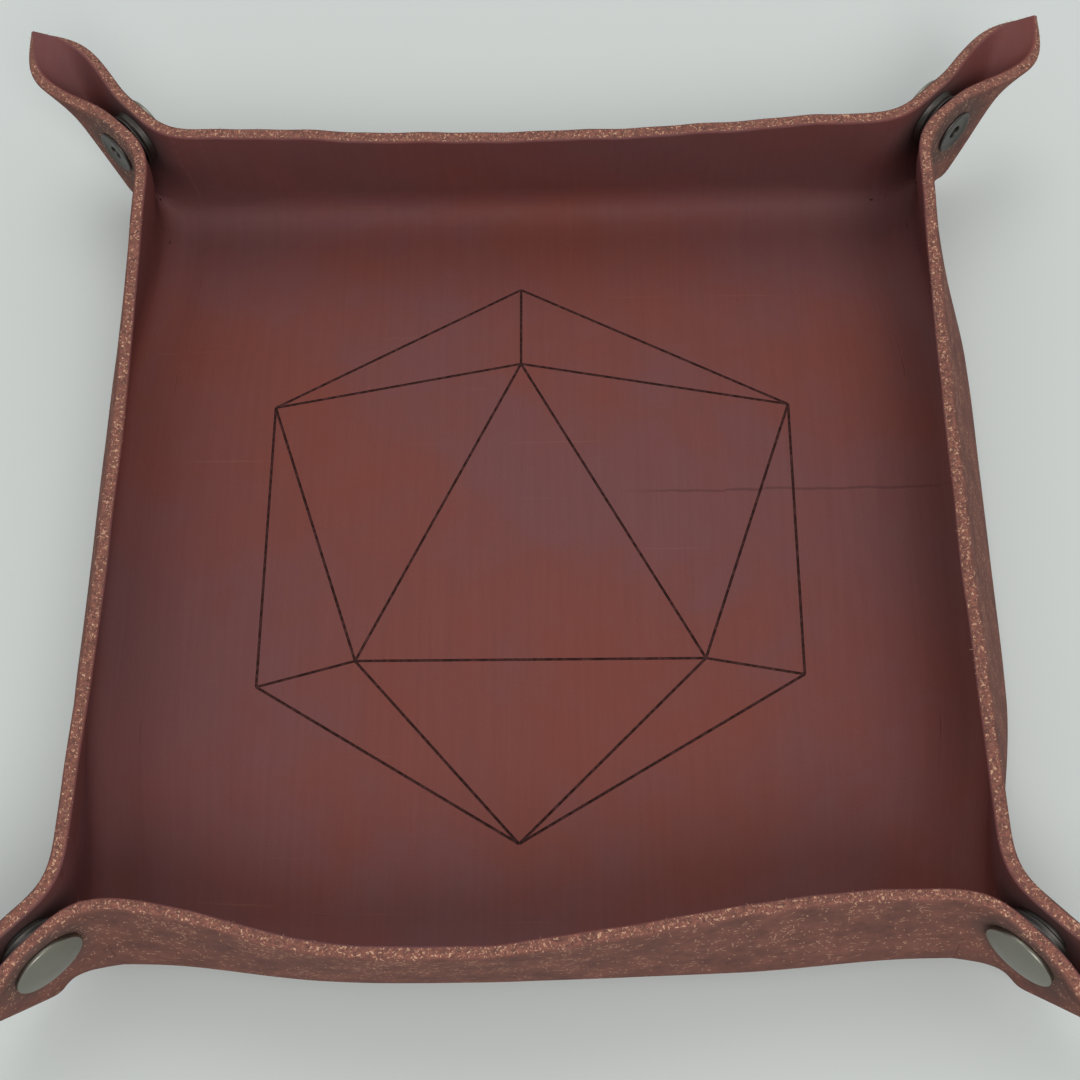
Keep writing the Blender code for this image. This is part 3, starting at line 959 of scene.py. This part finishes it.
def eyelet_profile():
    """Flat flange with a rounded rim, and the barrel that goes on into the stud."""
    seat = sizes().flap_gap / 2 + sizes().leather - PRESSED_IN
    bore, radius = snaps().eyelet_bore, snaps().eyelet_radius
    barrel = bore + BARREL_WALL
    end = sizes().flap_gap / 2 - BARREL_END
    roll, rise = EYELET_RIM
    points = [(bore, end)]
    points += arc(bore + BORE_ROLL, seat + BORE_ROLL, BORE_ROLL, 180, 90)
    points += [(radius - EYELET_FLAT[0], seat + EYELET_FLAT[1])]
    points += arc(radius - roll, seat + rise, roll, 100, -20)
    points += [(radius - EYELET_FOOT, seat), (barrel, seat), (barrel, end)]
    return points


def turned(name, points, finish):
    """A piece turned about Z from the points of its profile."""
    deselect()
    bpy.ops.mesh.primitive_circle_add(vertices=len(points), radius=1)
    piece = bpy.context.object
    piece.name = piece.data.name = name
    mesh = piece.data
    mesh.vertices.foreach_set("co", np.array([(r, 0, z) for r, z in points]).ravel())
    edit(
        (bpy.ops.mesh.select_all, {"action": 'SELECT'}),
        (bpy.ops.mesh.spin, {"steps": TURN_SEGMENTS, "angle": 2 * pi, "center": (0, 0, 0), "axis": (0, 0, 1)}),
        (bpy.ops.mesh.select_all, {"action": 'SELECT'}),
        (bpy.ops.mesh.remove_doubles, {"threshold": 0.002 * MM}),
        (bpy.ops.mesh.delete_loose, {}),
        (bpy.ops.mesh.select_all, {"action": 'SELECT'}),
        (bpy.ops.mesh.normals_make_consistent, {"inside": False}),
    )
    bpy.ops.object.shade_smooth_by_angle(angle=radians(SHARP_ANGLE))
    mesh.materials.append(finish)
    return piece


def snap_frame(corner, is_side):
    """Frame on a snap's axis, +Z toward the outer face of its flap."""
    side_x, side_y = CORNERS[corner]
    half = sizes().floor_half
    height = sizes().wall - sizes().snap_below_rim + sizes().leather / 2
    outer = Vector((side_x, -side_y, 0)) if is_side else Vector((-side_x, side_y, 0))
    turn = outer.to_track_quat('Z', 'Y').to_matrix().to_4x4()
    return Matrix.Translation((side_x * half, side_y * half, height)) @ turn


def set_in_corners(kind, profile, finish):
    """Turns a fitting once and sets a copy of it at each snap."""
    model = turned("model_" + kind, profile, finish)
    is_side = kind in ("stud", "eyelet")
    for corner in CORNERS:
        piece = bpy.data.objects.new("tray_" + corner + "_" + kind, model.data.copy())
        piece.data.name = piece.name
        bpy.context.scene.collection.objects.link(piece)
        piece.data.transform(snap_frame(corner, is_side))
        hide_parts(corner + "_" + kind)
        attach(piece, corner + ("_side" if is_side else "_end"))
    bpy.data.objects.remove(model)


class TRAY_OT_caps(bpy.types.Operator):
    """Cap of each snap, on the outside of the front and back flaps"""

    bl_idname = "tray.caps"
    bl_label = "Caps"

    def execute(self, context):
        set_in_corners("cap", cap_profile(), smooth_plating())
        return {'FINISHED'}


class TRAY_OT_sockets(bpy.types.Operator):
    """Socket of each snap, between the flaps"""

    bl_idname = "tray.sockets"
    bl_label = "Sockets"

    def execute(self, context):
        set_in_corners("socket", socket_profile(), blackened_plating())
        return {'FINISHED'}


class TRAY_OT_studs(bpy.types.Operator):
    """Stud of each snap, held in its socket"""

    bl_idname = "tray.studs"
    bl_label = "Studs"

    def execute(self, context):
        set_in_corners("stud", stud_profile(), blackened_plating())
        return {'FINISHED'}


class TRAY_OT_eyelets(bpy.types.Operator):
    """Eyelet of each snap, on the outside of the left and right flaps"""

    bl_idname = "tray.eyelets"
    bl_label = "Eyelets"

    def execute(self, context):
        set_in_corners("eyelet", eyelet_profile(), blackened_plating())
        return {'FINISHED'}


# Loose fibres

def strand_model():
    """One thin tapering fibre along Z, one unit long and wide."""
    deselect()
    bpy.ops.mesh.primitive_cone_add(vertices=STRAND_SIDES, radius1=1, radius2=0.25, depth=1, location=(0, 0, 0.5))
    bpy.ops.object.transform_apply(location=True)
    model = bpy.context.object
    edit(
        (bpy.ops.mesh.select_all, {"action": 'SELECT'}),
        (bpy.ops.mesh.bisect, {"plane_co": (0, 0, 0.33), "plane_no": (0, 0, 1)}),
        (bpy.ops.mesh.select_all, {"action": 'SELECT'}),
        (bpy.ops.mesh.bisect, {"plane_co": (0, 0, 0.67), "plane_no": (0, 0, 1)}),
    )
    places = read(model.data, "vertices", "co", 3)
    faces = [list(face.vertices) for face in model.data.polygons]
    bpy.data.objects.remove(model)
    return places, faces


def strands(name, across, along, draws, finish):
    """Fibres standing out of the cut edge at places on the sheet's outline."""
    middle, toward_grain, run, rise = laid(across, along)
    on_side = (np.abs(across) > np.abs(along))[:, None]
    outward = np.where(on_side, run * np.sign(across)[:, None], rise * np.sign(along)[:, None])
    beside = np.cross(outward, toward_grain)
    count = len(across)
    height = draws.uniform(-0.95, 0.95, count)
    long = draws.uniform(*STRAND_LENGTH, count) * draws.uniform(0.5, 1, count)
    wide = STRAND_RADIUS * draws.uniform(0.6, 1.3, count)
    tilt = draws.normal(0, STRAND_TILT, (count, 2))
    bend = draws.normal(0, STRAND_BEND, (count, 2))
    model, faces = strand_model()
    root = middle + toward_grain * (height * sizes().leather / 2 * 0.85)[:, None] - outward * STRAND_ROOT
    along_strand = unit_length(outward + toward_grain * (tilt[:, :1] + height[:, None] * 0.5) + beside * tilt[:, 1:])
    first = unit_length(np.cross(along_strand, beside + toward_grain * 0.3))
    second = np.cross(along_strand, first)
    x, y, z = model.T[:, None, :, None]
    long, wide = long[:, None, None], wide[:, None, None]
    curl = z**2 * long * 0.5
    places = root[:, None] + along_strand[:, None] * (z * long)
    places = places + first[:, None] * (x * wide + curl * bend[:, None, :1])
    places = places + second[:, None] * (y * wide + curl * bend[:, None, 1:])
    shift = len(model)
    all_faces = [[i + shift * n for i in face] for n in range(count) for face in faces]
    mesh = bpy.data.meshes.new(name)
    mesh.from_pydata(places.reshape(-1, 3).tolist(), [], all_faces)
    mesh.materials.append(finish)
    piece = bpy.data.objects.new(name, mesh)
    bpy.context.scene.collection.objects.link(piece)
    active(piece)
    bpy.ops.object.shade_smooth()
    return piece


class TRAY_OT_fibres(bpy.types.Operator):
    """Loose fibres along the cut edges of the walls and ears"""

    bl_idname = "tray.fibres"
    bl_label = "Loose fibres"

    def execute(self, context):
        draws = np.random.default_rng(7)
        finish = loose_fibre()
        wall_end = seam_run(np.array(sizes().wall))
        rim = sizes().floor_half + sizes().wall
        for wall in WALLS:
            run = draws.uniform(-wall_end, wall_end, STRANDS_ON_WALL)
            out = rim + edge_wander(run, np.full(len(run), rim))
            piece = strands("tray_" + wall + "_fibres", *on_wall(wall, run, out), draws, finish)
            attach(piece, wall)
        for name, wall, kind, sides in ear_halves():
            run = draws.uniform(wall_end, rim - STRANDS_SHORT_OF_TIP, STRANDS_ON_EAR)
            out = np.full(len(run), rim)
            piece = strands("tray_" + name + "_fibres", *on_ear(kind, sides, run, out), draws, finish)
            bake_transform(piece)
        return {'FINISHED'}


# Finishes

def plug(tree, made, sockets):
    """Gives the sockets of a node values, other nodes or their sockets."""
    for key, value in sockets.items():
        if isinstance(value, bpy.types.Node):
            value = next(socket for socket in value.outputs if socket.enabled)
        if isinstance(value, bpy.types.NodeSocket):
            tree.links.new(value, made.inputs[key])
        else:
            made.inputs[key].default_value = value


def node(tree, kind, sockets=None, **settings):
    """Adds a node with its settings and its sockets."""
    made = tree.nodes.new(kind)
    for name, value in settings.items():
        setattr(made, name, value)
    plug(tree, made, sockets or {})
    return made


def maths(tree, operation, *values):
    return node(tree, 'ShaderNodeMath', dict(enumerate(values)), operation=operation)


def vector_maths(tree, operation, *values):
    return node(tree, 'ShaderNodeVectorMath', dict(enumerate(values)), operation=operation)


def distance(tree, place, centre):
    return vector_maths(tree, 'DISTANCE', place, centre).outputs["Value"]


def noise(tree, place, scale, detail, **more):
    """Clouds; more sets their roughness or distortion."""
    return node(tree, 'ShaderNodeTexNoise', {"Vector": place, "Scale": scale, "Detail": detail, **more})


def ranged(tree, value, *limits, **settings):
    """Maps a range onto a second one, or onto 0 to 1."""
    return node(tree, 'ShaderNodeMapRange', dict(enumerate((value, *limits))), **settings)


def smoothed(tree, value, *limits):
    """Maps a range by a smooth step."""
    return ranged(tree, value, *limits, interpolation_type='SMOOTHSTEP')


def mixed(tree, share, first, second, **settings):
    """Goes by a share from one tint to another; each is a colour or a node."""
    tints = [tint if isinstance(tint, bpy.types.Node) else opaque(tint) for tint in (first, second)]
    return node(tree, 'ShaderNodeMix', {0: share, 6: tints[0], 7: tints[1]}, data_type='RGBA', **settings)


def bumps(tree, height, strength, depth):
    return node(tree, 'ShaderNodeBump', {"Strength": strength, "Distance": depth, "Height": height})


def new_finish(name):
    """An empty material, or None with the one made before."""
    made = bpy.data.materials.get(name)
    if made:
        return made, None, None
    made = bpy.data.materials.new(name)
    made.use_nodes = True
    return made, made.node_tree, made.node_tree.nodes["Principled BSDF"]


def opaque(values):
    return (*values, 1)


def in_mm(tree, place):
    return node(tree, 'ShaderNodeVectorMath', {0: place, "Scale": 1 / MM}, operation='SCALE')


def object_place(tree):
    return node(tree, 'ShaderNodeTexCoord').outputs["Object"]


def sheet_mm(tree):
    """Place on the flat sheet, in millimetres."""
    return in_mm(tree, node(tree, 'ShaderNodeUVMap', uv_map="sheet"))


def sheet_parts(tree, place):
    """Place across and along the sheet, and its distances from the two middle lines."""
    parts = node(tree, 'ShaderNodeSeparateXYZ', {0: place})
    across, along = parts.outputs["X"], parts.outputs["Y"]
    return across, along, maths(tree, 'ABSOLUTE', across), maths(tree, 'ABSOLUTE', along)


def dyed_grain():
    """Vegetable-tanned cowhide, grain side, hand-dyed oxblood: a satin face, cloudy with dye."""
    finish, tree, shader = new_finish("dyed_grain_leather")
    if tree is None:
        return finish
    place = sheet_mm(tree)
    across, along, out_x, out_y = sheet_parts(tree, place)
    # Clouds of dye about 60 mm and 11 mm across
    clouds = noise(tree, place, 0.017, 2, Distortion=0.3)
    blotches = noise(tree, place, 0.09, 4, Roughness=0.55)
    dye = smoothed(tree, maths(tree, 'MULTIPLY_ADD', blotches, 0.35, clouds), 0.50, 0.85)
    tint = mixed(tree, dye, colours().grain_deep, colours().grain)
    ragged = maths(tree, 'MULTIPLY_ADD', blotches, -26, 13)
    # Patches of lighter dye, and dark patches that are partly darker dye and partly painted shade by the walls and in
    # the floor's corners
    for pools, pool_colour, most in ((DARK_DYE_AND_SHADE_POOLS, colours().plum_and_shade, 0.5), (WARM_POOLS, colours().grain, 0.8)):
        for x, y, radius, strength in pools:
            reach = maths(tree, 'ADD', distance(tree, place, (x, y, 0)), ragged)
            tint = mixed(tree, smoothed(tree, reach, radius, 0, 0, strength * most), tint, pool_colour)
    # Painted shade: a darker purplish tint toward the folds and up the walls, where their inner faces lie in shade,
    # less of it inside the ears
    shade_toward_walls = smoothed(tree, maths(tree, 'SMOOTH_MAX', out_x, out_y, 30), 75, 122, 0, 0.3)
    shade_share_in_ears = ranged(tree, maths(tree, 'MINIMUM', out_x, out_y), 88, 100, 1, 0.35)
    tint = mixed(tree, maths(tree, 'MULTIPLY', shade_toward_walls, shade_share_in_ears), tint, colours().plum_and_shade)
    # Painted shade round the snaps, in the colour of the blackened plating
    tint = mixed(tree, painted_shade_round_snaps(tree, place), tint, colours().patina_and_shade)
    # Brush streaks, 1 mm wide and some 30 mm long
    stretched = vector_maths(tree, 'MULTIPLY', place, (1.0, 0.035, 1.0))
    streaked = ranged(tree, noise(tree, stretched, 0.9, 3, Roughness=0.6), 0.3, 0.7, 0.96, 1.04)
    # Pores of the grain, 0.6 mm apart
    pores = node(tree, 'ShaderNodeTexVoronoi', {"Vector": place, "Scale": 1.6, "Randomness": 1.0}, feature='F1')
    fine = noise(tree, place, 2.4, 5, Roughness=0.65)
    speckled = ranged(tree, fine, 0.35, 0.65, 0.96, 1.04)
    tint = mixed(tree, 1.0, tint, maths(tree, 'MULTIPLY', streaked, speckled), blend_type='MULTIPLY')
    # A few fine scratches
    turned_place = node(tree, 'ShaderNodeMapping', {"Vector": place, "Rotation": (0, 0, 1.1), "Scale": (0.02, 0.9, 1)})
    scratches = noise(tree, turned_place, 1.0, 1, Distortion=0.6)
    tint = mixed(tree, ranged(tree, scratches, 0.76, 0.81, 0, 0.35), tint, colours().edge)
    # Painted shade of a crease, in the colour of the burnt lines
    tint = mixed(tree, crease_painted_shade(tree, across, along, blotches), tint, colours().scorch)
    gloss = ranged(tree, blotches, 0.3, 0.7, 0.60, 0.70)
    swollen = maths(tree, 'MULTIPLY_ADD', noise(tree, place, 0.28, 3), 2.2, fine)
    height = maths(tree, 'MULTIPLY_ADD', pores.outputs["Distance"], 0.5, swollen)
    relief = bumps(tree, height, 0.35, 0.08 * MM)
    plug(tree, shader, {"Base Color": tint, "Roughness": gloss, "Normal": relief})
    plug(tree, shader, {"Specular IOR Level": 0.16, "IOR": 1.5})
    return finish


def crease_painted_shade(tree, across, along, blotches):
    """Share of painted shade along one long crease across the right of the floor, half a millimetre wide, that dies
    out at both ends.
    """
    wavy = maths(tree, 'MULTIPLY_ADD', blotches, CREASE_WAVE, along)
    away = maths(tree, 'ABSOLUTE', maths(tree, 'SUBTRACT', wavy, CREASE_HEIGHT + CREASE_WAVE / 2))
    share = ranged(tree, away, 0.45, 0.1, 0, 0.35)
    for end, fade in zip(CREASE_ENDS, (CREASE_FADE, -CREASE_FADE)):
        share = maths(tree, 'MULTIPLY', share, ranged(tree, across, end, end + fade))
    return share


def painted_shade_round_snaps(tree, place):
    """Share of painted shade on the leather round the snaps: a dark ring that stands in for the shadow of the caps and
    the shade between the flaps.
    """
    folded_place = vector_maths(tree, 'ABSOLUTE', place)
    half = sizes().floor_half / MM
    rim = half + (sizes().wall - sizes().snap_below_rim) / MM
    away = [distance(tree, folded_place, centre) for centre in ((half, rim, 0), (rim, half, 0))]
    return smoothed(tree, maths(tree, 'MINIMUM', *away), 13, 6, 0, 0.5)


def flecks(tree, place, spacing, long, wide, density):
    """Short strokes, one to a cell and each turned its own way; density is the share of cells that have one."""
    cells = node(tree, 'ShaderNodeTexVoronoi', {"Vector": place, "Scale": 1 / spacing}, voronoi_dimensions='2D')
    from_middle = vector_maths(tree, 'SUBTRACT', place, cells.outputs["Position"])
    draws = node(tree, 'ShaderNodeSeparateColor', {0: cells.outputs["Color"]})
    turn = maths(tree, 'MULTIPLY', draws.outputs["Red"], 2 * pi)
    lying = node(tree, 'ShaderNodeVectorRotate', {"Vector": from_middle, "Angle": turn}, rotation_type='Z_AXIS')
    _, _, out_x, out_y = sheet_parts(tree, lying)
    shown = maths(tree, 'LESS_THAN', draws.outputs["Green"], density)
    for away, reach in ((out_x, long / 2), (out_y, wide / 2)):
        shown = maths(tree, 'MULTIPLY', shown, ranged(tree, away, reach * 1.3, reach * 0.7))
    return shown


def raw_flesh():
    """Flesh side of the same hide, dyed but unfinished: rough suede with pale loose fibres."""
    finish, tree, shader = new_finish("raw_flesh_leather")
    if tree is None:
        return finish
    place = sheet_mm(tree)
    # Nap in soft clumps of about 2 mm and 8 mm
    clumps = noise(tree, place, 0.5, 5, Roughness=0.65)
    both = maths(tree, 'ADD', clumps, noise(tree, place, 0.12, 2))
    tint = mixed(tree, ranged(tree, both, 0.72, 1.22), colours().flesh_deep, colours().flesh)
    # Painted shade round the snaps, in the colour of the blackened plating
    tint = mixed(tree, painted_shade_round_snaps(tree, place), tint, colours().patina_and_shade)
    # Loose fibres in clusters, more of them toward the rim
    _, _, out_x, out_y = sheet_parts(tree, place)
    rimward = ranged(tree, maths(tree, 'MAXIMUM', out_x, out_y), 92, 124, 0.03, 0.16)
    density = maths(tree, 'MULTIPLY', rimward, ranged(tree, both, 0.92, 1.15, 0.2, 2.0))
    fibres, *more = [flecks(tree, place, *size, density) for size in FLECK_SIZES]
    for others in more:
        fibres = maths(tree, 'MAXIMUM', fibres, others)
    tint = mixed(tree, maths(tree, 'MULTIPLY', fibres, 0.55), tint, colours().fibre)
    nap = noise(tree, place, 2.6, 4, Roughness=0.7)
    relief = bumps(tree, maths(tree, 'MULTIPLY_ADD', fibres, 0.5, nap), 0.7, 0.25 * MM)
    plug(tree, shader, {"Base Color": tint, "Normal": relief, "Roughness": 0.92, "Specular IOR Level": 0.12})
    return finish


def cut_edge():
    """Cut and lightly dyed edge of the hide: lighter, fibrous, never quite even."""
    finish, tree, shader = new_finish("cut_edge_leather")
    if tree is None:
        return finish
    place = in_mm(tree, object_place(tree))
    # Dark pits and tufts of about 0.8 mm, and bright ends of single fibres
    tufts = noise(tree, place, 1.2, 5, Roughness=0.75)
    tint = mixed(tree, ranged(tree, tufts, 0.36, 0.60), colours().flesh_deep, colours().edge)
    ends = noise(tree, place, 2.0, 2, Distortion=0.8)
    tint = mixed(tree, ranged(tree, ends, 0.58, 0.66, 0, 0.8), tint, colours().fibre)
    relief = bumps(tree, tufts, 0.9, 0.3 * MM)
    plug(tree, shader, {"Base Color": tint, "Normal": relief, "Roughness": 0.88, "Specular IOR Level": 0.2})
    return finish


def loose_fibre():
    """Single collagen fibres standing out of the cut: paler than the edge and translucent."""
    finish, tree, shader = new_finish("loose_leather_fibre")
    if tree is None:
        return finish
    varied = noise(tree, object_place(tree), 600, 1)
    tint = mixed(tree, ranged(tree, varied, 0.35, 0.7), colours().flesh, colours().fibre)
    plug(tree, shader, {"Base Color": tint, "Roughness": 0.8})
    return finish


def scorched_line():
    """Line burnt into the grain: charred brown, matt, sunk below the face."""
    finish, tree, shader = new_finish("scorched_line")
    if tree is None:
        return finish
    char = noise(tree, object_place(tree), 900, 3)
    tint = mixed(tree, ranged(tree, char, 0.4, 0.75, 0, 0.5), colours().scorch, colours().grain_deep)
    plug(tree, shader, {"Base Color": tint, "Roughness": 0.85, "Specular IOR Level": 0.1})
    return finish


def plated_steel(name, bright, dull, smoothest, roughest):
    """Pressed steel with a plated face: a tint that varies in clouds of 4 mm, and a fine haze of 0.3 mm."""
    finish, tree, shader = new_finish(name)
    if tree is None:
        return finish
    place = in_mm(tree, object_place(tree))
    tint = mixed(tree, noise(tree, place, 0.25, 2), bright, dull)
    gloss = ranged(tree, noise(tree, place, 3.2, 3), 0.3, 0.7, smoothest, roughest)
    plug(tree, shader, {"Base Color": tint, "Roughness": gloss, "Metallic": 1.0})
    return finish


def smooth_plating():
    """Caps: plain satin plating, a pale greyish olive that hardly varies."""
    return plated_steel("satin_plated_steel", colours().plating, Vector(colours().plating) * 0.86, 0.36, 0.42)


def blackened_plating():
    """Sockets, studs and eyelets: blackened plating, dark and rather dull, worn a little paler in clouds."""
    return plated_steel("blackened_plated_steel", Vector(colours().patina_and_shade) * 1.7, colours().patina_and_shade, 0.44, 0.56)


def plain_table():
    """Matt painted board: pale, even, only there to carry the shadow."""
    finish, tree, shader = new_finish("pale_table")
    if tree is None:
        return finish
    plug(tree, shader, {"Base Color": opaque(colours().table), "Roughness": 0.9, "Specular IOR Level": 0.1})
    return finish


class TRAY_OT_stage(bpy.types.Operator):
    """Pale table, soft light from above and the camera of the photograph"""

    bl_idname = "tray.stage"
    bl_label = "Stage"

    def execute(self, context):
        deselect()
        bpy.ops.mesh.primitive_plane_add(size=6, location=(0, 0, -0.1 * MM))
        table = context.object
        table.name = "table_top"
        bpy.ops.object.transform_apply(location=True)
        table.data.materials.append(plain_table())

        for name, place, energy in SOFT_LAMPS:
            lamp = bpy.data.lights.new(name, 'AREA')
            lamp.shape = 'DISK'
            lamp.size = LAMP_SIZE
            lamp.energy = energy
            lamp_object = bpy.data.objects.new(name, lamp)
            lamp_object.location = place
            lamp_object.rotation_euler = Vector(place).to_track_quat('Z', 'Y').to_euler()
            context.scene.collection.objects.link(lamp_object)

        world = bpy.data.worlds.new("pale_surroundings")
        world.use_nodes = True
        background = world.node_tree.nodes["Background"]
        background.inputs["Color"].default_value = opaque(colours().sky)
        background.inputs["Strength"].default_value = SKY_STRENGTH
        context.scene.world = world

        camera = bpy.data.cameras.new("camera")
        camera.lens = CAMERA_LENS
        camera.sensor_width = CAMERA_SENSOR
        camera_object = bpy.data.objects.new("camera", camera)
        turn = Matrix((CAMERA_RIGHT, CAMERA_UP, CAMERA_BACK)).transposed().to_4x4()
        camera_object.matrix_world = Matrix.Translation(CAMERA_PLACE) @ turn
        context.scene.collection.objects.link(camera_object)
        context.scene.camera = camera_object
        context.scene.view_settings.view_transform = 'Standard'
        return {'FINISHED'}


class TRAY_PT_panel(bpy.types.Panel):
    """Sizes, colours and pieces of the tray"""

    bl_idname = "TRAY_PT_panel"
    bl_label = "Dice tray"
    bl_space_type = 'VIEW_3D'
    bl_region_type = 'UI'
    bl_category = "Dice tray"

    def draw(self, context):
        for group in (context.scene.tray_sizes, context.scene.tray_snaps, context.scene.tray_colours):
            box = self.layout.box()
            box.label(text=group.bl_rna.description)
            for name in group.__annotations__:
                box.prop(group, name)
        for operator in OPERATORS:
            self.layout.operator(operator.bl_idname)


OPERATORS = (
    TRAY_OT_floor,
    TRAY_OT_walls,
    TRAY_OT_ears,
    TRAY_OT_caps,
    TRAY_OT_sockets,
    TRAY_OT_studs,
    TRAY_OT_eyelets,
    TRAY_OT_fibres,
    TRAY_OT_stage,
)
GROUPS = {"tray_sizes": TraySizes, "tray_snaps": SnapSizes, "tray_colours": TrayColours}


def register():
    for name, group in GROUPS.items():
        bpy.utils.register_class(group)
        setattr(bpy.types.Scene, name, PointerProperty(type=group))
    for operator in OPERATORS:
        bpy.utils.register_class(operator)
    bpy.utils.register_class(TRAY_PT_panel)


def unregister():
    bpy.utils.unregister_class(TRAY_PT_panel)
    for operator in reversed(OPERATORS):
        bpy.utils.unregister_class(operator)
    for name, group in GROUPS.items():
        delattr(bpy.types.Scene, name)
        bpy.utils.unregister_class(group)


def main():
    register()
    bpy.ops.tray.floor()
    bpy.ops.tray.walls()
    bpy.ops.tray.ears()
    bpy.ops.tray.caps()
    bpy.ops.tray.sockets()
    bpy.ops.tray.studs()
    bpy.ops.tray.eyelets()
    bpy.ops.tray.fibres()
    bpy.ops.tray.stage()


if __name__ == "__main__":
    main()
